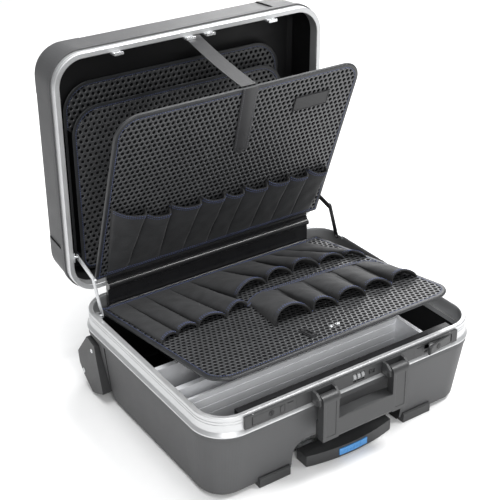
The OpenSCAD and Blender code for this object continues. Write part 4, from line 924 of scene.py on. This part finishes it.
class CASE_OT_document_pockets(bpy.types.Operator):
    """Builds the two perforated document pockets in the lid"""
    bl_idname = "tool_case.document_pockets"
    bl_label = "Document pockets"

    def execute(self, context):
        for node, doc, behind in (("document_pocket_front", DOC_FRONT, DOC_REAR["z"] - 0.0003),
                                  ("document_pocket_rear", DOC_REAR, DOC_BACK)):
            place = on_document_sheet(doc)
            half, reach = doc["width"] / 2, doc["reach"]
            loop = refined(rounded_loop(half, 0.0, reach, DOC_R, r_foot=0.02), 0.03)
            lumps = [slab(loop + mitres(loop) * 0.002, -0.0014, -0.0004)]
            depth = behind - doc["z"]
            for s in (-1, 1):
                lumps.append(box_lump(*sorted((s * half - s * 0.0015, s * half - s * 0.0002)), 0.031,
                                      reach - 0.04, -depth, -0.001))
            panel = make_piece(node + "_panel", *joined(lumps), place=place, smooth=False)
            dressed(panel, "board_back")
            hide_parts(node)
            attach(panel, "lid")
            perforated(node + "_facing", loop, 0.0045, *DOC_HOLES, "lid", place, top=0.0002)
            bar = round_bar(0.008, 0.0026, 0.0012, low=-0.0019)
            rim = make_piece(node + "_binding", *plane_sweep(loop, bar), place=place)
            dressed(rim, "binding")
            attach(rim, "lid")
            run = loop + mitres(loop) * 0.006
            run = np.column_stack([run, np.full(len(run), 0.00085)])
            stitched(node + "_stitching", [np.vstack([run, run[:1]])], "lid", place)
        return {"FINISHED"}


class CASE_OT_spine(bpy.types.Operator):
    """Gives the spine between the boards its glossy leathercloth finish"""
    bl_idname = "tool_case.spine"
    bl_label = "Spine"

    def execute(self, context):
        dressed(NODES["spine"], "spine_gloss")
        return {"FINISHED"}


class CASE_OT_small_fittings(bpy.types.Operator):
    """Adds the bare badge plate and gives the pull loop and its rivets their finishes"""
    bl_idname = "tool_case.small_fittings"
    bl_label = "Small fittings"

    def execute(self, context):
        loop = np.array([(0.098, 0.262), (0.165, 0.262), (0.165, 0.290), (0.098, 0.290)])
        steps = [(0.0, 0.0004), (0.0, 0.0016), (0.0006, 0.0022), (0.0020, 0.0024), (0.0024, 0.0019)]
        m = mitres(loop)
        ring = [np.column_stack([loop + m * a, np.full(4, n)]) for a, n in steps]
        verts = np.stack(ring, 0).reshape(-1, 3)
        faces = strip_faces(len(steps), 4, closed_cols=True)
        faces += [[3, 2, 1, 0], [4 * (len(steps) - 1) + i for i in range(4)]]
        plate = make_piece("badge_plate", verts, faces, place=on_upper, smooth=False)
        dressed(plate, "black_plastic")
        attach(plate, "upper_panel")
        dressed(NODES["pull_loop"], "strap_cloth")
        dressed(NODES["loop_rivet"], "bright_metal")
        return {"FINISHED"}


OPERATORS = (CASE_OT_stage, CASE_OT_hard_parts, CASE_OT_boards, CASE_OT_pockets, CASE_OT_strap,
             CASE_OT_document_pockets, CASE_OT_spine, CASE_OT_small_fittings)


class CASE_PT_sidebar(bpy.types.Panel):
    """Sizes, colours and build steps of the tool case"""
    bl_label = "Tool case"
    bl_idname = "CASE_PT_sidebar"
    bl_space_type = "VIEW_3D"
    bl_region_type = "UI"
    bl_category = "Tool Case"

    def draw(self, context):
        for group in (context.scene.case_sizes, context.scene.case_colours):
            box = self.layout.box()
            for key in group.__annotations__:
                box.prop(group, key)
        for op in OPERATORS:
            self.layout.operator(op.bl_idname)


CLASSES = (CaseSizes, CaseColours) + OPERATORS + (CASE_PT_sidebar,)


def register():
    for cls in CLASSES:
        bpy.utils.register_class(cls)
    bpy.types.Scene.case_sizes = PointerProperty(type=CaseSizes)
    bpy.types.Scene.case_colours = PointerProperty(type=CaseColours)


def unregister():
    del bpy.types.Scene.case_colours
    del bpy.types.Scene.case_sizes
    for cls in reversed(CLASSES):
        bpy.utils.unregister_class(cls)


def main():
    register()
    for op in OPERATORS:
        area, name = op.bl_idname.split(".")
        getattr(getattr(bpy.ops, area), name)()


if __name__ == "__main__":
    main()
